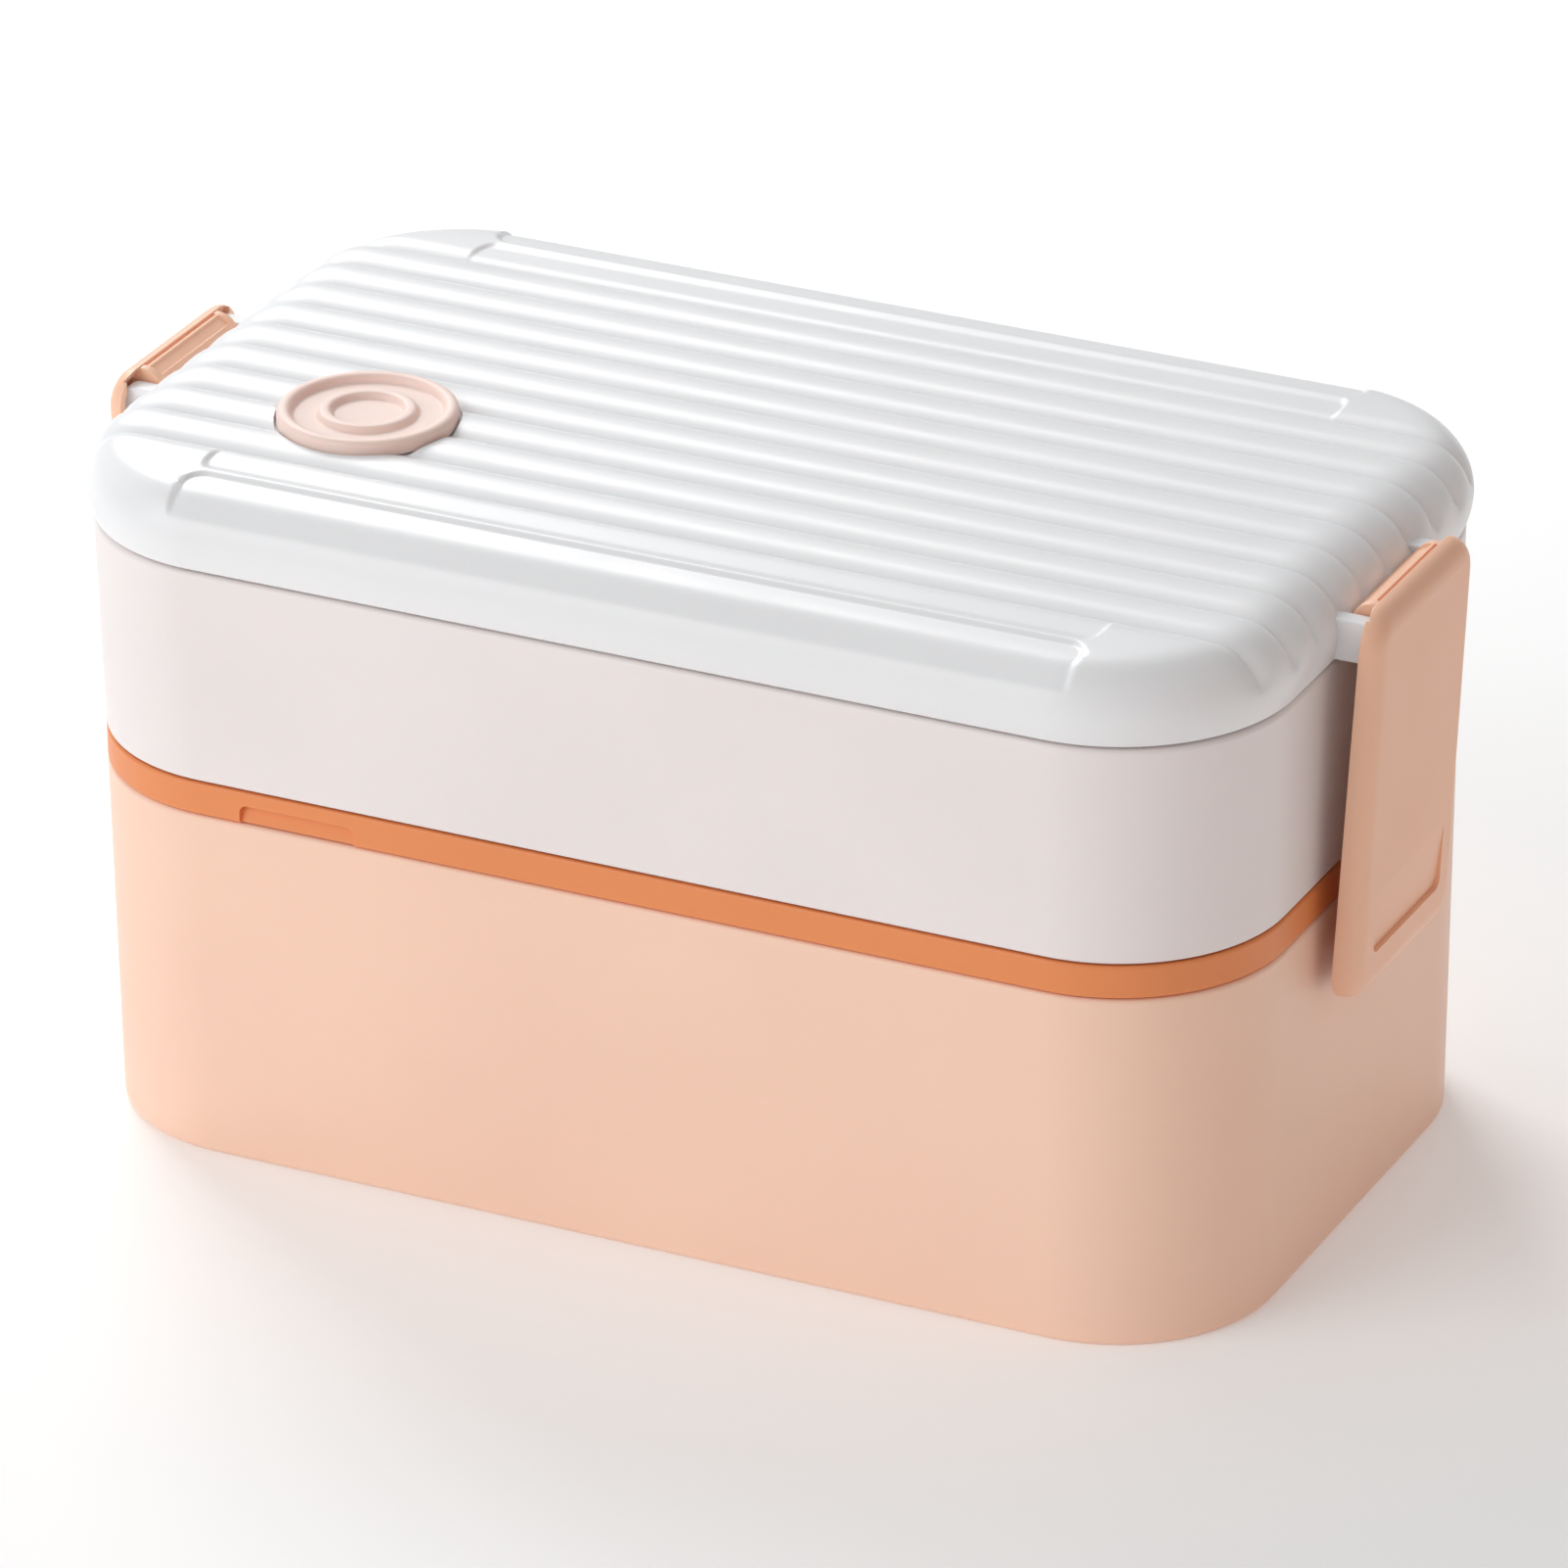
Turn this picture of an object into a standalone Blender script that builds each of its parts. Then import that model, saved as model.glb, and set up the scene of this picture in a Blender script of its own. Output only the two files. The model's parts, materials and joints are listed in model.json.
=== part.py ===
"""Two-tier bento lunch box with a ribbed clip-on lid, built as separate mouldings.

Metres, +Z up. The origin is the centre of the underside. X runs along the box's
length, and the front is at -Y. From the bottom: lower box, middle lid with its seal,
upper box with a removable divider, top lid with its seal and vent plug, and a snap
latch hinged at each end of the lid, which hooks under a ridge on the lower box.
"""

import math

import bmesh
import bpy
from mathutils import Matrix, Vector

# ---- driving dimensions (metres) ------------------------------------------------------

BODY_LENGTH = 0.185  # X, at the lower box's top edge
BODY_DEPTH = 0.109  # Y, at the same edge
CORNER_RADIUS = 0.0256  # plan corners at that edge

LOWER_HEIGHT = 0.0553  # underside to the middle lid's seam
BAND_HEIGHT = 0.0055  # the middle lid's visible band
UPPER_HEIGHT = 0.0336  # middle lid to the top lid's seam
LID_HEIGHT = 0.0134  # that seam to the top of the crown

LOWER_DRAFT = 0.00067  # how far the lower box narrows to its foot, per side
UPPER_FLARE = 0.00074  # how far the upper box widens to its seam, per side
FOOT_RADIUS = 0.0012  # rounding under the lower box

SKIRT = 0.0016  # lid wall that hangs outside a box's rim
RIM = 0.0013  # thin upright rim of a box, inside the skirt
FIT = 0.0003  # clearance between pieces that touch
FLOOR = 0.002  # floor of either box
FLOOR_FILLET = 0.006  # inside, where the wall meets the floor
LOWER_RIM_HEIGHT = 0.0017
UPPER_RIM_HEIGHT = 0.0051
LID_SEAM = 0.0006  # the shadow line under the top lid

SEAL_WIDTH = 0.0028  # across the ring
MID_SEAL_THICKNESS = 0.0013
LID_SEAL_THICKNESS = 0.0019
PLUG_WALL = 0.0012  # inner wall of a lid, beside the seal
MID_PLUG_DROP = 0.002  # how far that wall hangs below the seam
LID_PLUG_DROP = 0.0042  # below the seal channel's roof

NEST_DEPTH = 0.0016  # how deep the upper box sits in the middle lid
NEST_RIM = 0.0056  # width of the middle lid's raised border
NEST_FIT = 0.0006
MID_PANEL = 0.0016  # middle lid's panel thickness

NOTCH_LENGTH = 0.0185  # finger notch in the middle lid's band
NOTCH_FROM_END = 0.0415  # its middle, in from the left end
NOTCH_HEIGHT = 0.0031
NOTCH_DEPTH = 0.0009
NOTCH_RADIUS = 0.0012

LID_BULGE = 0.00096  # widest stretch of the lid, beyond its seam
LID_BULGE_HEIGHT = 0.0045  # of that stretch, above the seam
LID_FILLET_RUN = 0.011  # rounded shoulder, measured inwards
LID_PANEL_DROP = 0.0036  # crown to the underside of the panel
CROWN_RADIUS = 0.79  # of the top, across Y
RIB_PITCH = 0.00845
RIB_BORDER = 0.008  # least plain width beside the outermost ribs
RIB_DEPTH = 0.0007

VENT_FROM_END = 0.037  # its centre, in from the left end
VENT_FROM_FRONT = 0.0333
VENT_PLUG_RADIUS = 0.01325
VENT_FIT = 0.0004
VENT_POCKET_DEPTH = 0.0017  # below the crown's top
VENT_PROUD = 0.0013  # the plug's top, above the lid around it
VENT_RING = 0.0023  # width of the outer raised ring
VENT_DISH_DEPTH = 0.0008
VENT_INNER_RING_RADIUS = 0.0075
VENT_INNER_RING = 0.0025
VENT_STEM_RADIUS = 0.0032
VENT_STEM_BELOW = 0.0008  # under the lid's panel

DIVIDER_X = 0.018
DIVIDER_THICKNESS = 0.0016
DIVIDER_TOP_GAP = 0.0085  # its top, below the rim of the upper box
DIVIDER_FIT = 0.0005
GUIDE_HEIGHT = 0.020  # of the small ribs that hold the divider
GUIDE_WIDTH = 0.0014
GUIDE_DEPTH = 0.0016

PIN_ABOVE_SEAM = 0.0054  # hinge axis
TRUNNION_RADIUS = 0.0008
TRUNNION_FIT = 0.0003
BARREL_RADIUS = 0.00355
BARREL_LENGTH = 0.0238
LUG_THICKNESS = 0.003
LUG_GAP = 0.0004  # between the barrel and a lug
LUG_BOSS_FIT = 0.00045  # inside the latch
LUG_BELOW_AXIS = 0.0046
LATCH_OPENING = math.radians(60)  # where the latch's top meets the lugs

LATCH_WIDTH = 0.036  # Y
LATCH_CORNER = 0.0055
HOLLOW_CORNER = 0.0016  # inside the latch
LATCH_FACE = 0.0014  # thickness of the outer face
LATCH_RIM = 0.0016  # thickness of the returning rim
LATCH_BELOW_RIDGE = 0.0051  # its lower edge, below the ridge's underside
LATCH_LEAN = 0.00285  # how far the outer face leans in, from the axis to the lower edge
RIM_DEPTH_TOP = 0.0031  # the returning rim, from the outer face
RIM_DEPTH_LOW = 0.0039

RIDGE_PROUD = 0.0023  # catch ridge on the lower box
RIDGE_LENGTH = 0.019
RIDGE_BELOW_SEAM = 0.0081  # its underside, below the middle lid's seam
RIDGE_THICKNESS = 0.001
RIDGE_RAMP = 0.0028
HOOK_BITE = 0.00105  # how far the hook reaches under the ridge
HOOK_LENGTH = 0.016
HOOK_HEIGHT = 0.0031

THUMB_WIDTH = 0.0244  # thumb recess in the latch's face
THUMB_HEIGHT = 0.010
THUMB_ABOVE_EDGE = 0.0066
THUMB_DEPTH = 0.0008

CORE_WIDTH = 0.0022  # groove along the top of the barrel
CORE_DEPTH = 0.001
CORE_LENGTH = 0.0212
CORE_ANGLE = math.radians(118)

CORNER_STEPS = 7
SIDE_STEPS = 4
ARC_STEPS = 5
ROUND_STEPS = 40
OVERCUT = 0.02  # how far a cutter passes beyond what it cuts
SMALLEST_RADIUS = 0.0004

# ---- heights that follow --------------------------------------------------------------

MID_SEAM_Z = LOWER_HEIGHT
UPPER_FOOT_Z = LOWER_HEIGHT + BAND_HEIGHT
LID_SEAM_Z = UPPER_FOOT_Z + UPPER_HEIGHT
TOP_Z = LID_SEAM_Z + LID_HEIGHT

MID_TOP_Z = UPPER_FOOT_Z - FIT
LOWER_RIM_Z = MID_SEAM_Z + LOWER_RIM_HEIGHT
MID_CHANNEL_Z = LOWER_RIM_Z + MID_SEAL_THICKNESS + 2 * FIT
MID_PANEL_Z = MID_TOP_Z - NEST_DEPTH

UPPER_LEDGE_Z = LID_SEAM_Z - FIT
UPPER_RIM_Z = UPPER_LEDGE_Z + UPPER_RIM_HEIGHT
LID_EDGE_Z = UPPER_LEDGE_Z + LID_SEAM
LID_CHANNEL_Z = UPPER_RIM_Z + LID_SEAL_THICKNESS + 2 * FIT
LID_PANEL_Z = TOP_Z - LID_PANEL_DROP
BULGE_Z = LID_SEAM_Z + LID_BULGE_HEIGHT

RIM_OUTER = SKIRT + FIT
RIM_INNER = RIM_OUTER + RIM
CHANNEL_INNER = RIM_OUTER + SEAL_WIDTH + FIT
PLUG_INNER = CHANNEL_INNER + PLUG_WALL

VENT_X = VENT_FROM_END - BODY_LENGTH / 2
VENT_Y = VENT_FROM_FRONT - BODY_DEPTH / 2
RIB_COUNT = 2 * int((BODY_DEPTH / 2 - RIB_BORDER) / RIB_PITCH) + 1

PIN_OUT = BARREL_RADIUS + FIT
PIN_Z = LID_SEAM_Z + PIN_ABOVE_SEAM
RIDGE_Z = MID_SEAM_Z - RIDGE_BELOW_SEAM
LATCH_DROP = PIN_Z - RIDGE_Z + LATCH_BELOW_RIDGE
LUG_BOSS_RADIUS = BARREL_RADIUS - LATCH_FACE - LUG_BOSS_FIT
LUG_REACH = BARREL_LENGTH / 2 + LUG_GAP + LUG_THICKNESS / 2

# ---- plan outlines: (half length, half depth, corner radius) ---------------------------

SEAM_OUTLINE = (BODY_LENGTH / 2, BODY_DEPTH / 2, CORNER_RADIUS)


def inset(outline, distance):
    """The outline moved inwards, or outwards for a negative distance."""
    half_x, half_y, radius = outline
    return (half_x - distance, half_y - distance, max(radius - distance, SMALLEST_RADIUS))


def lower_outline(z):
    """The lower box's outer face at a height."""
    return inset(SEAM_OUTLINE, LOWER_DRAFT * (1 - z / LOWER_HEIGHT))


def upper_outline(z):
    """The upper box's outer face at a height."""
    return inset(SEAM_OUTLINE, -UPPER_FLARE * (z - UPPER_FOOT_Z) / UPPER_HEIGHT)


LID_OUTLINE = upper_outline(LID_SEAM_Z)
BULGE_OUTLINE = inset(LID_OUTLINE, -LID_BULGE)
PIN_X = BULGE_OUTLINE[0] + PIN_OUT
RIDGE_TIP = lower_outline(RIDGE_Z)[0] + RIDGE_PROUD


def crown_z(y):
    """The top of the lid across its depth."""
    return TOP_Z - CROWN_RADIUS + math.sqrt(CROWN_RADIUS**2 - y**2)


# ---- modelling helpers ------------------------------------------------------------------


def plan_points(outline):
    """A rounded rectangle, anticlockwise, with points along its straight sides too."""
    half_x, half_y, radius = outline
    points = []
    for corner in range(4):
        start = corner * math.pi / 2
        sign_x = 1 if corner in (0, 3) else -1
        sign_y = 1 if corner in (0, 1) else -1
        centre = Vector((sign_x * (half_x - radius), sign_y * (half_y - radius)))
        for step in range(CORNER_STEPS + 1):
            angle = start + step / CORNER_STEPS * math.pi / 2
            points.append(centre + radius * Vector((math.cos(angle), math.sin(angle))))
        after = (corner + 1) % 4
        next_x = (1 if after in (0, 3) else -1) * (half_x - radius)
        next_y = (1 if after in (0, 1) else -1) * (half_y - radius)
        angle = start + math.pi / 2
        goal = Vector((next_x, next_y)) + radius * Vector((math.cos(angle), math.sin(angle)))
        for step in range(1, SIDE_STEPS):
            points.append(points[-1].lerp(goal, 1 / (SIDE_STEPS + 1 - step)))
    return points


def add_ring(bm, outline, z):
    """The vertices of an outline at a height."""
    return [bm.verts.new((point.x, point.y, z)) for point in plan_points(outline)]


def join_rings(bm, first, second):
    """Faces between two rings that have the same number of vertices."""
    for index, vert in enumerate(first):
        bm.faces.new((first[index - 1], vert, second[index], second[index - 1]))


def finish_mesh(bm, name):
    """A new object from the bmesh, with its faces pointing out."""
    bmesh.ops.recalc_face_normals(bm, faces=bm.faces)
    mesh = bpy.data.meshes.new(name)
    bm.to_mesh(mesh)
    bm.free()
    obj = bpy.data.objects.new(name, mesh)
    bpy.context.collection.objects.link(obj)
    return obj


def ring_body(name, rings):
    """One closed body through a run of (outline, z) rings, capped at both ends."""
    bm = bmesh.new()
    made = [add_ring(bm, outline, z) for outline, z in rings]
    for below, above in zip(made, made[1:]):
        join_rings(bm, below, above)
    for cap in (made[0], made[-1]):
        bm.faces.new(cap)
    return finish_mesh(bm, name)


def prism(name, points, half_length):
    """An (x, z) outline pushed along Y, to both sides of the middle plane."""
    bm = bmesh.new()
    verts = [bm.verts.new((x, -half_length, z)) for x, z in points]
    face = bm.faces.new(verts)
    grown = bmesh.ops.extrude_face_region(bm, geom=[face])["geom"]
    moved = [item for item in grown if isinstance(item, bmesh.types.BMVert)]
    bmesh.ops.translate(bm, verts=moved, vec=(0, 2 * half_length, 0))
    return finish_mesh(bm, name)


def block(name, low, high):
    """A box between two corners."""
    points = ((low[0], low[2]), (high[0], low[2]), (high[0], high[2]), (low[0], high[2]))
    obj = prism(name, points, (high[1] - low[1]) / 2)
    shift(obj, Vector((0, (high[1] + low[1]) / 2, 0)))
    return obj


def rod(name, radius, length, centre):
    """A cylinder along Y about a centre."""
    bm = bmesh.new()
    turned = Matrix.Translation(centre) @ Matrix.Rotation(math.pi / 2, 4, "X")
    bmesh.ops.create_cone(
        bm,
        cap_ends=True,
        segments=ROUND_STEPS // 2,
        radius1=radius,
        radius2=radius,
        depth=length,
        matrix=turned,
    )
    return finish_mesh(bm, name)


def turned_body(name, profile, centre):
    """An (r, z) profile spun about a vertical axis; it starts and ends on the axis."""
    bm = bmesh.new()
    verts = [bm.verts.new((r, 0, z)) for r, z in profile]
    edges = [bm.edges.new(pair) for pair in zip(verts, verts[1:])]
    bmesh.ops.spin(
        bm,
        geom=verts + edges,
        axis=(0, 0, 1),
        angle=2 * math.pi,
        steps=ROUND_STEPS,
        use_merge=True,
    )
    bmesh.ops.remove_doubles(bm, verts=bm.verts, dist=SMALLEST_RADIUS / 10)
    obj = finish_mesh(bm, name)
    shift(obj, centre)
    return obj


def shift(obj, offset):
    """Moves the mesh and leaves the object's origin."""
    obj.data.transform(Matrix.Translation(offset))


def combine(obj, other, operation):
    """Applies a Boolean to the first object and uses the second one up."""
    modifier = obj.modifiers.new(operation.title(), "BOOLEAN")
    modifier.operation = operation
    modifier.object = other
    modifier.solver = "EXACT"
    bpy.context.view_layer.update()
    graph = bpy.context.evaluated_depsgraph_get()
    mesh = bpy.data.meshes.new_from_object(obj.evaluated_get(graph))
    obj.modifiers.clear()
    obj.data = mesh
    bpy.data.objects.remove(other)


def arc(centre, radius, start, end, steps=ARC_STEPS):
    """Points on an arc in a plane, from one angle in degrees to another."""
    angles = [math.radians(start + (end - start) * step / steps) for step in range(steps + 1)]
    return [(centre[0] + radius * math.cos(a), centre[1] + radius * math.sin(a)) for a in angles]


# ---- materials --------------------------------------------------------------------------


def plastic(name, colour, roughness):
    """A moulded plastic or silicone."""
    material = bpy.data.materials.new(name)
    material.use_nodes = True
    shader = material.node_tree.nodes["Principled BSDF"]
    shader.inputs["Base Color"].default_value = (*colour, 1)
    shader.inputs["Roughness"].default_value = roughness
    shader.inputs["Metallic"].default_value = 0
    return material


def white_plastic(name):
    return plastic(name, (0.86, 0.85, 0.83), 0.35)


def peach_plastic(name):
    return plastic(name, (0.86, 0.56, 0.42), 0.4)


def orange_plastic(name):
    return plastic(name, (0.78, 0.23, 0.09), 0.4)


def pink_silicone(name):
    return plastic(name, (0.84, 0.6, 0.52), 0.5)


def clear_silicone(name):
    return plastic(name, (0.8, 0.8, 0.78), 0.55)


def dress(obj, material):
    """Gives an object its material, with round faces smooth."""
    obj.data.materials.clear()
    obj.data.materials.append(material)
    obj.data.shade_smooth()
    obj.data.set_sharp_from_angle(angle=math.radians(35))
    return obj


# ---- boxes ------------------------------------------------------------------------------


def cavity_rings(outline_at, rim_z, floor_z):
    """A box's inside, from its rim down the wall and round the fillet to the floor."""
    start = floor_z + FLOOR_FILLET
    rings = [(inset(outline_at(rim_z), RIM_INNER), rim_z)]
    for step in range(ARC_STEPS + 1):
        angle = step / ARC_STEPS * math.pi / 2
        distance = RIM_INNER + FLOOR_FILLET * (1 - math.cos(angle))
        rings.append((inset(outline_at(start), distance), start - FLOOR_FILLET * math.sin(angle)))
    return rings


def build_lower_box():
    """Deep lower tier, with a catch ridge on each end."""
    rings = []
    for step in range(ARC_STEPS):
        angle = step / (ARC_STEPS - 1) * math.pi / 2
        distance = FOOT_RADIUS * (1 - math.sin(angle))
        z = FOOT_RADIUS * (1 - math.cos(angle))
        rings.append((inset(lower_outline(z), distance), z))
    rings.append((lower_outline(MID_SEAM_Z), MID_SEAM_Z))
    rings.append((inset(SEAM_OUTLINE, RIM_OUTER), MID_SEAM_Z))
    rings.append((inset(SEAM_OUTLINE, RIM_OUTER), LOWER_RIM_Z))
    rings += cavity_rings(lambda z: lower_outline(min(z, MID_SEAM_Z)), LOWER_RIM_Z, FLOOR)
    box = ring_body("lower_box", rings)
    for side in (-1, 1):
        combine(box, prism("ridge", ridge_points(side), RIDGE_LENGTH / 2), "UNION")
    return dress(box, peach_plastic("lower_box_plastic"))


def ridge_points(side):
    """The catch ridge in section: flat underneath, ramped on top."""
    root = RIDGE_TIP - RIDGE_PROUD - SKIRT
    top = RIDGE_Z + RIDGE_THICKNESS
    points = ((root, RIDGE_Z), (RIDGE_TIP, RIDGE_Z), (RIDGE_TIP, top), (root, top + RIDGE_RAMP))
    return [(side * x, z) for x, z in points]


def build_upper_box():
    """Shallow upper tier; its floor nests in the middle lid, and guides hold the divider."""
    foot = upper_outline(UPPER_FOOT_Z)
    nest = NEST_RIM + NEST_FIT
    nest_z = MID_PANEL_Z + FIT
    floor_z = nest_z + FLOOR
    edge = FOOT_RADIUS / 2
    rings = [
        (inset(foot, nest), nest_z),
        (inset(foot, nest), UPPER_FOOT_Z),
        (inset(foot, edge), UPPER_FOOT_Z),
        (upper_outline(UPPER_FOOT_Z + edge), UPPER_FOOT_Z + edge),
        (LID_OUTLINE, UPPER_LEDGE_Z),
        (inset(LID_OUTLINE, RIM_OUTER), UPPER_LEDGE_Z),
        (inset(LID_OUTLINE, RIM_OUTER), UPPER_RIM_Z),
    ]
    rings += cavity_rings(lambda z: upper_outline(min(z, LID_SEAM_Z)), UPPER_RIM_Z, floor_z)
    box = ring_body("upper_box", rings)
    half = DIVIDER_THICKNESS / 2 + DIVIDER_FIT
    wall = upper_outline(floor_z)[1] - RIM_INNER - GUIDE_DEPTH
    for side in (-1, 1):
        for offset in (-half - GUIDE_WIDTH, half):
            ends = sorted((side * wall, side * (wall + GUIDE_DEPTH + RIM)))
            low = (DIVIDER_X + offset, ends[0], floor_z)
            high = (DIVIDER_X + offset + GUIDE_WIDTH, ends[1], floor_z + GUIDE_HEIGHT)
            combine(box, block("guide", low, high), "UNION")
    return dress(box, white_plastic("upper_box_plastic"))


def build_divider():
    """Removable wall across the upper tier."""
    floor_z = MID_PANEL_Z + FIT + FLOOR
    low = floor_z + DIVIDER_FIT
    high = UPPER_RIM_Z - DIVIDER_TOP_GAP
    half_low = upper_outline(floor_z)[1] - RIM_INNER - DIVIDER_FIT
    half_high = upper_outline(high)[1] - RIM_INNER - DIVIDER_FIT
    turn = FLOOR_FILLET + DIVIDER_FIT
    right = arc((half_low - turn, low + turn), turn, -90, 0) + [(half_high, high)]
    left = [(-y, z) for y, z in reversed(right)]
    plate = prism("divider", right + left, DIVIDER_THICKNESS / 2)
    plate.data.transform(Matrix.Rotation(math.pi / 2, 4, "Z"))
    shift(plate, Vector((DIVIDER_X, 0, 0)))
    return dress(plate, white_plastic("divider_plastic"))


# ---- lids and seals ---------------------------------------------------------------------


def seal_ring(name, outline, low, thickness, material):
    """A flat silicone ring on a box's rim."""
    outer = inset(outline, RIM_OUTER)
    inner = inset(outline, RIM_OUTER + SEAL_WIDTH)
    bm = bmesh.new()
    corners = ((outer, low), (outer, low + thickness), (inner, low + thickness), (inner, low))
    made = [add_ring(bm, around, z) for around, z in corners]
    for below, above in zip(made, made[1:] + made[:1]):
        join_rings(bm, below, above)
    return dress(finish_mesh(bm, name), material)


def build_mid_lid():
    """Lid of the lower tier, seen as a band between the boxes."""
    edge = FIT
    rings = [
        (inset(SEAM_OUTLINE, NEST_RIM + FIT), MID_PANEL_Z),
        (inset(SEAM_OUTLINE, NEST_RIM), MID_TOP_Z),
        (inset(SEAM_OUTLINE, edge), MID_TOP_Z),
        (SEAM_OUTLINE, MID_TOP_Z - edge),
        (SEAM_OUTLINE, MID_SEAM_Z + FIT),
        (inset(SEAM_OUTLINE, SKIRT), MID_SEAM_Z + FIT),
        (inset(SEAM_OUTLINE, SKIRT), MID_CHANNEL_Z),
        (inset(SEAM_OUTLINE, CHANNEL_INNER), MID_CHANNEL_Z),
        (inset(SEAM_OUTLINE, CHANNEL_INNER), MID_SEAM_Z - MID_PLUG_DROP),
        (inset(SEAM_OUTLINE, PLUG_INNER), MID_SEAM_Z - MID_PLUG_DROP),
        (inset(SEAM_OUTLINE, PLUG_INNER), MID_PANEL_Z - MID_PANEL),
    ]
    lid = ring_body("mid_lid", rings)
    combine(lid, notch_cutter(), "DIFFERENCE")
    return dress(lid, orange_plastic("mid_lid_plastic"))


def notch_cutter():
    """The finger notch: open downwards, with rounded upper corners."""
    half = NOTCH_LENGTH / 2
    bottom = MID_SEAM_Z - OVERCUT
    top = MID_SEAM_Z + NOTCH_HEIGHT
    low = top - NOTCH_RADIUS
    points = [(-half, bottom), (half, bottom)]
    points += arc((half - NOTCH_RADIUS, low), NOTCH_RADIUS, 0, 90)
    points += arc((NOTCH_RADIUS - half, low), NOTCH_RADIUS, 90, 180)
    cutter = prism("notch", points, OVERCUT / 2)
    front = -SEAM_OUTLINE[1] + NOTCH_DEPTH - OVERCUT / 2
    shift(cutter, Vector((NOTCH_FROM_END - BODY_LENGTH / 2, front, 0)))
    return cutter


def lid_rings():
    """The lid from the middle of its top, over the shoulder, to its underside."""
    rings = []
    for step in range(2 * ARC_STEPS + 1):
        angle = (1 - step / (2 * ARC_STEPS)) * math.pi / 2
        distance = LID_FILLET_RUN * (1 - math.cos(angle))
        z = BULGE_Z + (TOP_Z - BULGE_Z) * math.sin(angle)
        rings.append((inset(BULGE_OUTLINE, distance), z))
    for step in range(1, ARC_STEPS + 1):
        share = step / ARC_STEPS
        distance = LID_BULGE * share**2
        rings.append((inset(BULGE_OUTLINE, distance), BULGE_Z + (LID_EDGE_Z - BULGE_Z) * share))
    rings += [
        (inset(LID_OUTLINE, SKIRT), LID_EDGE_Z),
        (inset(LID_OUTLINE, SKIRT), LID_CHANNEL_Z),
        (inset(LID_OUTLINE, CHANNEL_INNER), LID_CHANNEL_Z),
        (inset(LID_OUTLINE, CHANNEL_INNER), LID_CHANNEL_Z - LID_PLUG_DROP),
        (inset(LID_OUTLINE, PLUG_INNER), LID_CHANNEL_Z - LID_PLUG_DROP),
        (inset(LID_OUTLINE, PLUG_INNER), LID_PANEL_Z),
    ]
    return rings


def ribbed_top():
    """A long solid under the ribbed crown, which trims the lid's top."""
    outer = RIB_COUNT * RIB_PITCH / 2
    points = [(-BODY_DEPTH, 0), (-BODY_DEPTH, crown_z(outer)), (-outer, crown_z(outer) - RIB_DEPTH)]
    for rib in range(RIB_COUNT):
        middle = (rib - (RIB_COUNT - 1) / 2) * RIB_PITCH
        for share in (-0.55, 0, 0.55, 1):
            y = middle + share * RIB_PITCH / 2
            points.append((y, crown_z(y) - RIB_DEPTH * share**4))
    points += [(BODY_DEPTH, crown_z(outer)), (BODY_DEPTH, 0)]
    solid = prism("ribbed_top", points, BODY_LENGTH)
    solid.data.transform(Matrix.Rotation(math.pi / 2, 4, "Z"))
    return solid


def lug_points(side):
    """A hinge lug in section, from inside the lid's wall to round the trunnion."""
    root = PIN_X - PIN_OUT - SKIRT
    below = PIN_Z - LUG_BELOW_AXIS
    points = [(root, below), (PIN_X - LUG_BOSS_RADIUS, below)]
    points += arc((PIN_X, PIN_Z), LUG_BOSS_RADIUS, -45, 90)
    points += [(root, PIN_Z + LUG_BOSS_RADIUS)]
    return [(side * x, z) for x, z in points]


def build_lid():
    """Ribbed top lid with hinge lugs, seal channel and a pocket for the vent plug."""
    lid = ring_body("lid", lid_rings())
    combine(lid, ribbed_top(), "INTERSECT")
    for side in (-1, 1):
        for along in (-1, 1):
            lug = prism("lug", lug_points(side), LUG_THICKNESS / 2)
            shift(lug, Vector((0, along * LUG_REACH, 0)))
            combine(lid, lug, "UNION")
        centre = Vector((side * PIN_X, 0, PIN_Z))
        hole = rod("lug_hole", TRUNNION_RADIUS + TRUNNION_FIT, LATCH_WIDTH, centre)
        combine(lid, hole, "DIFFERENCE")
    pocket_radius = VENT_PLUG_RADIUS + VENT_FIT
    hole_radius = VENT_STEM_RADIUS + VENT_FIT
    floor_z = TOP_Z - VENT_POCKET_DEPTH
    low = LID_PANEL_Z - OVERCUT
    profile = (
        (0, TOP_Z + OVERCUT),
        (pocket_radius, TOP_Z + OVERCUT),
        (pocket_radius, floor_z),
        (hole_radius, floor_z),
        (hole_radius, low),
        (0, low),
    )
    combine(lid, turned_body("pocket", profile, Vector((VENT_X, VENT_Y, 0))), "DIFFERENCE")
    return dress(lid, white_plastic("lid_plastic"))


def build_vent_plug():
    """Silicone steam plug: a raised ring, a recess, an inner ring and a stem."""
    seat = TOP_Z - VENT_POCKET_DEPTH + FIT
    top = crown_z(VENT_Y) + VENT_PROUD
    edge = VENT_RING / 4
    ring = VENT_PLUG_RADIUS - VENT_RING
    inner = VENT_INNER_RING_RADIUS
    low = top - VENT_DISH_DEPTH
    profile = [
        (0, low),
        (inner - VENT_INNER_RING, low),
        (inner - VENT_INNER_RING / 2, top - VENT_DISH_DEPTH / 4),
        (inner, low),
        (ring, low),
        (ring + edge, top),
        (VENT_PLUG_RADIUS - edge, top),
        (VENT_PLUG_RADIUS, top - edge),
        (VENT_PLUG_RADIUS, seat),
        (VENT_STEM_RADIUS, seat),
        (VENT_STEM_RADIUS, LID_PANEL_Z - VENT_STEM_BELOW),
        (0, LID_PANEL_Z - VENT_STEM_BELOW),
    ]
    plug = turned_body("vent_plug", profile, Vector((0, 0, 0)))
    plug.location = (VENT_X, VENT_Y, 0)
    return dress(plug, pink_silicone("vent_plug_silicone"))


# ---- latches ----------------------------------------------------------------------------


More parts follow.
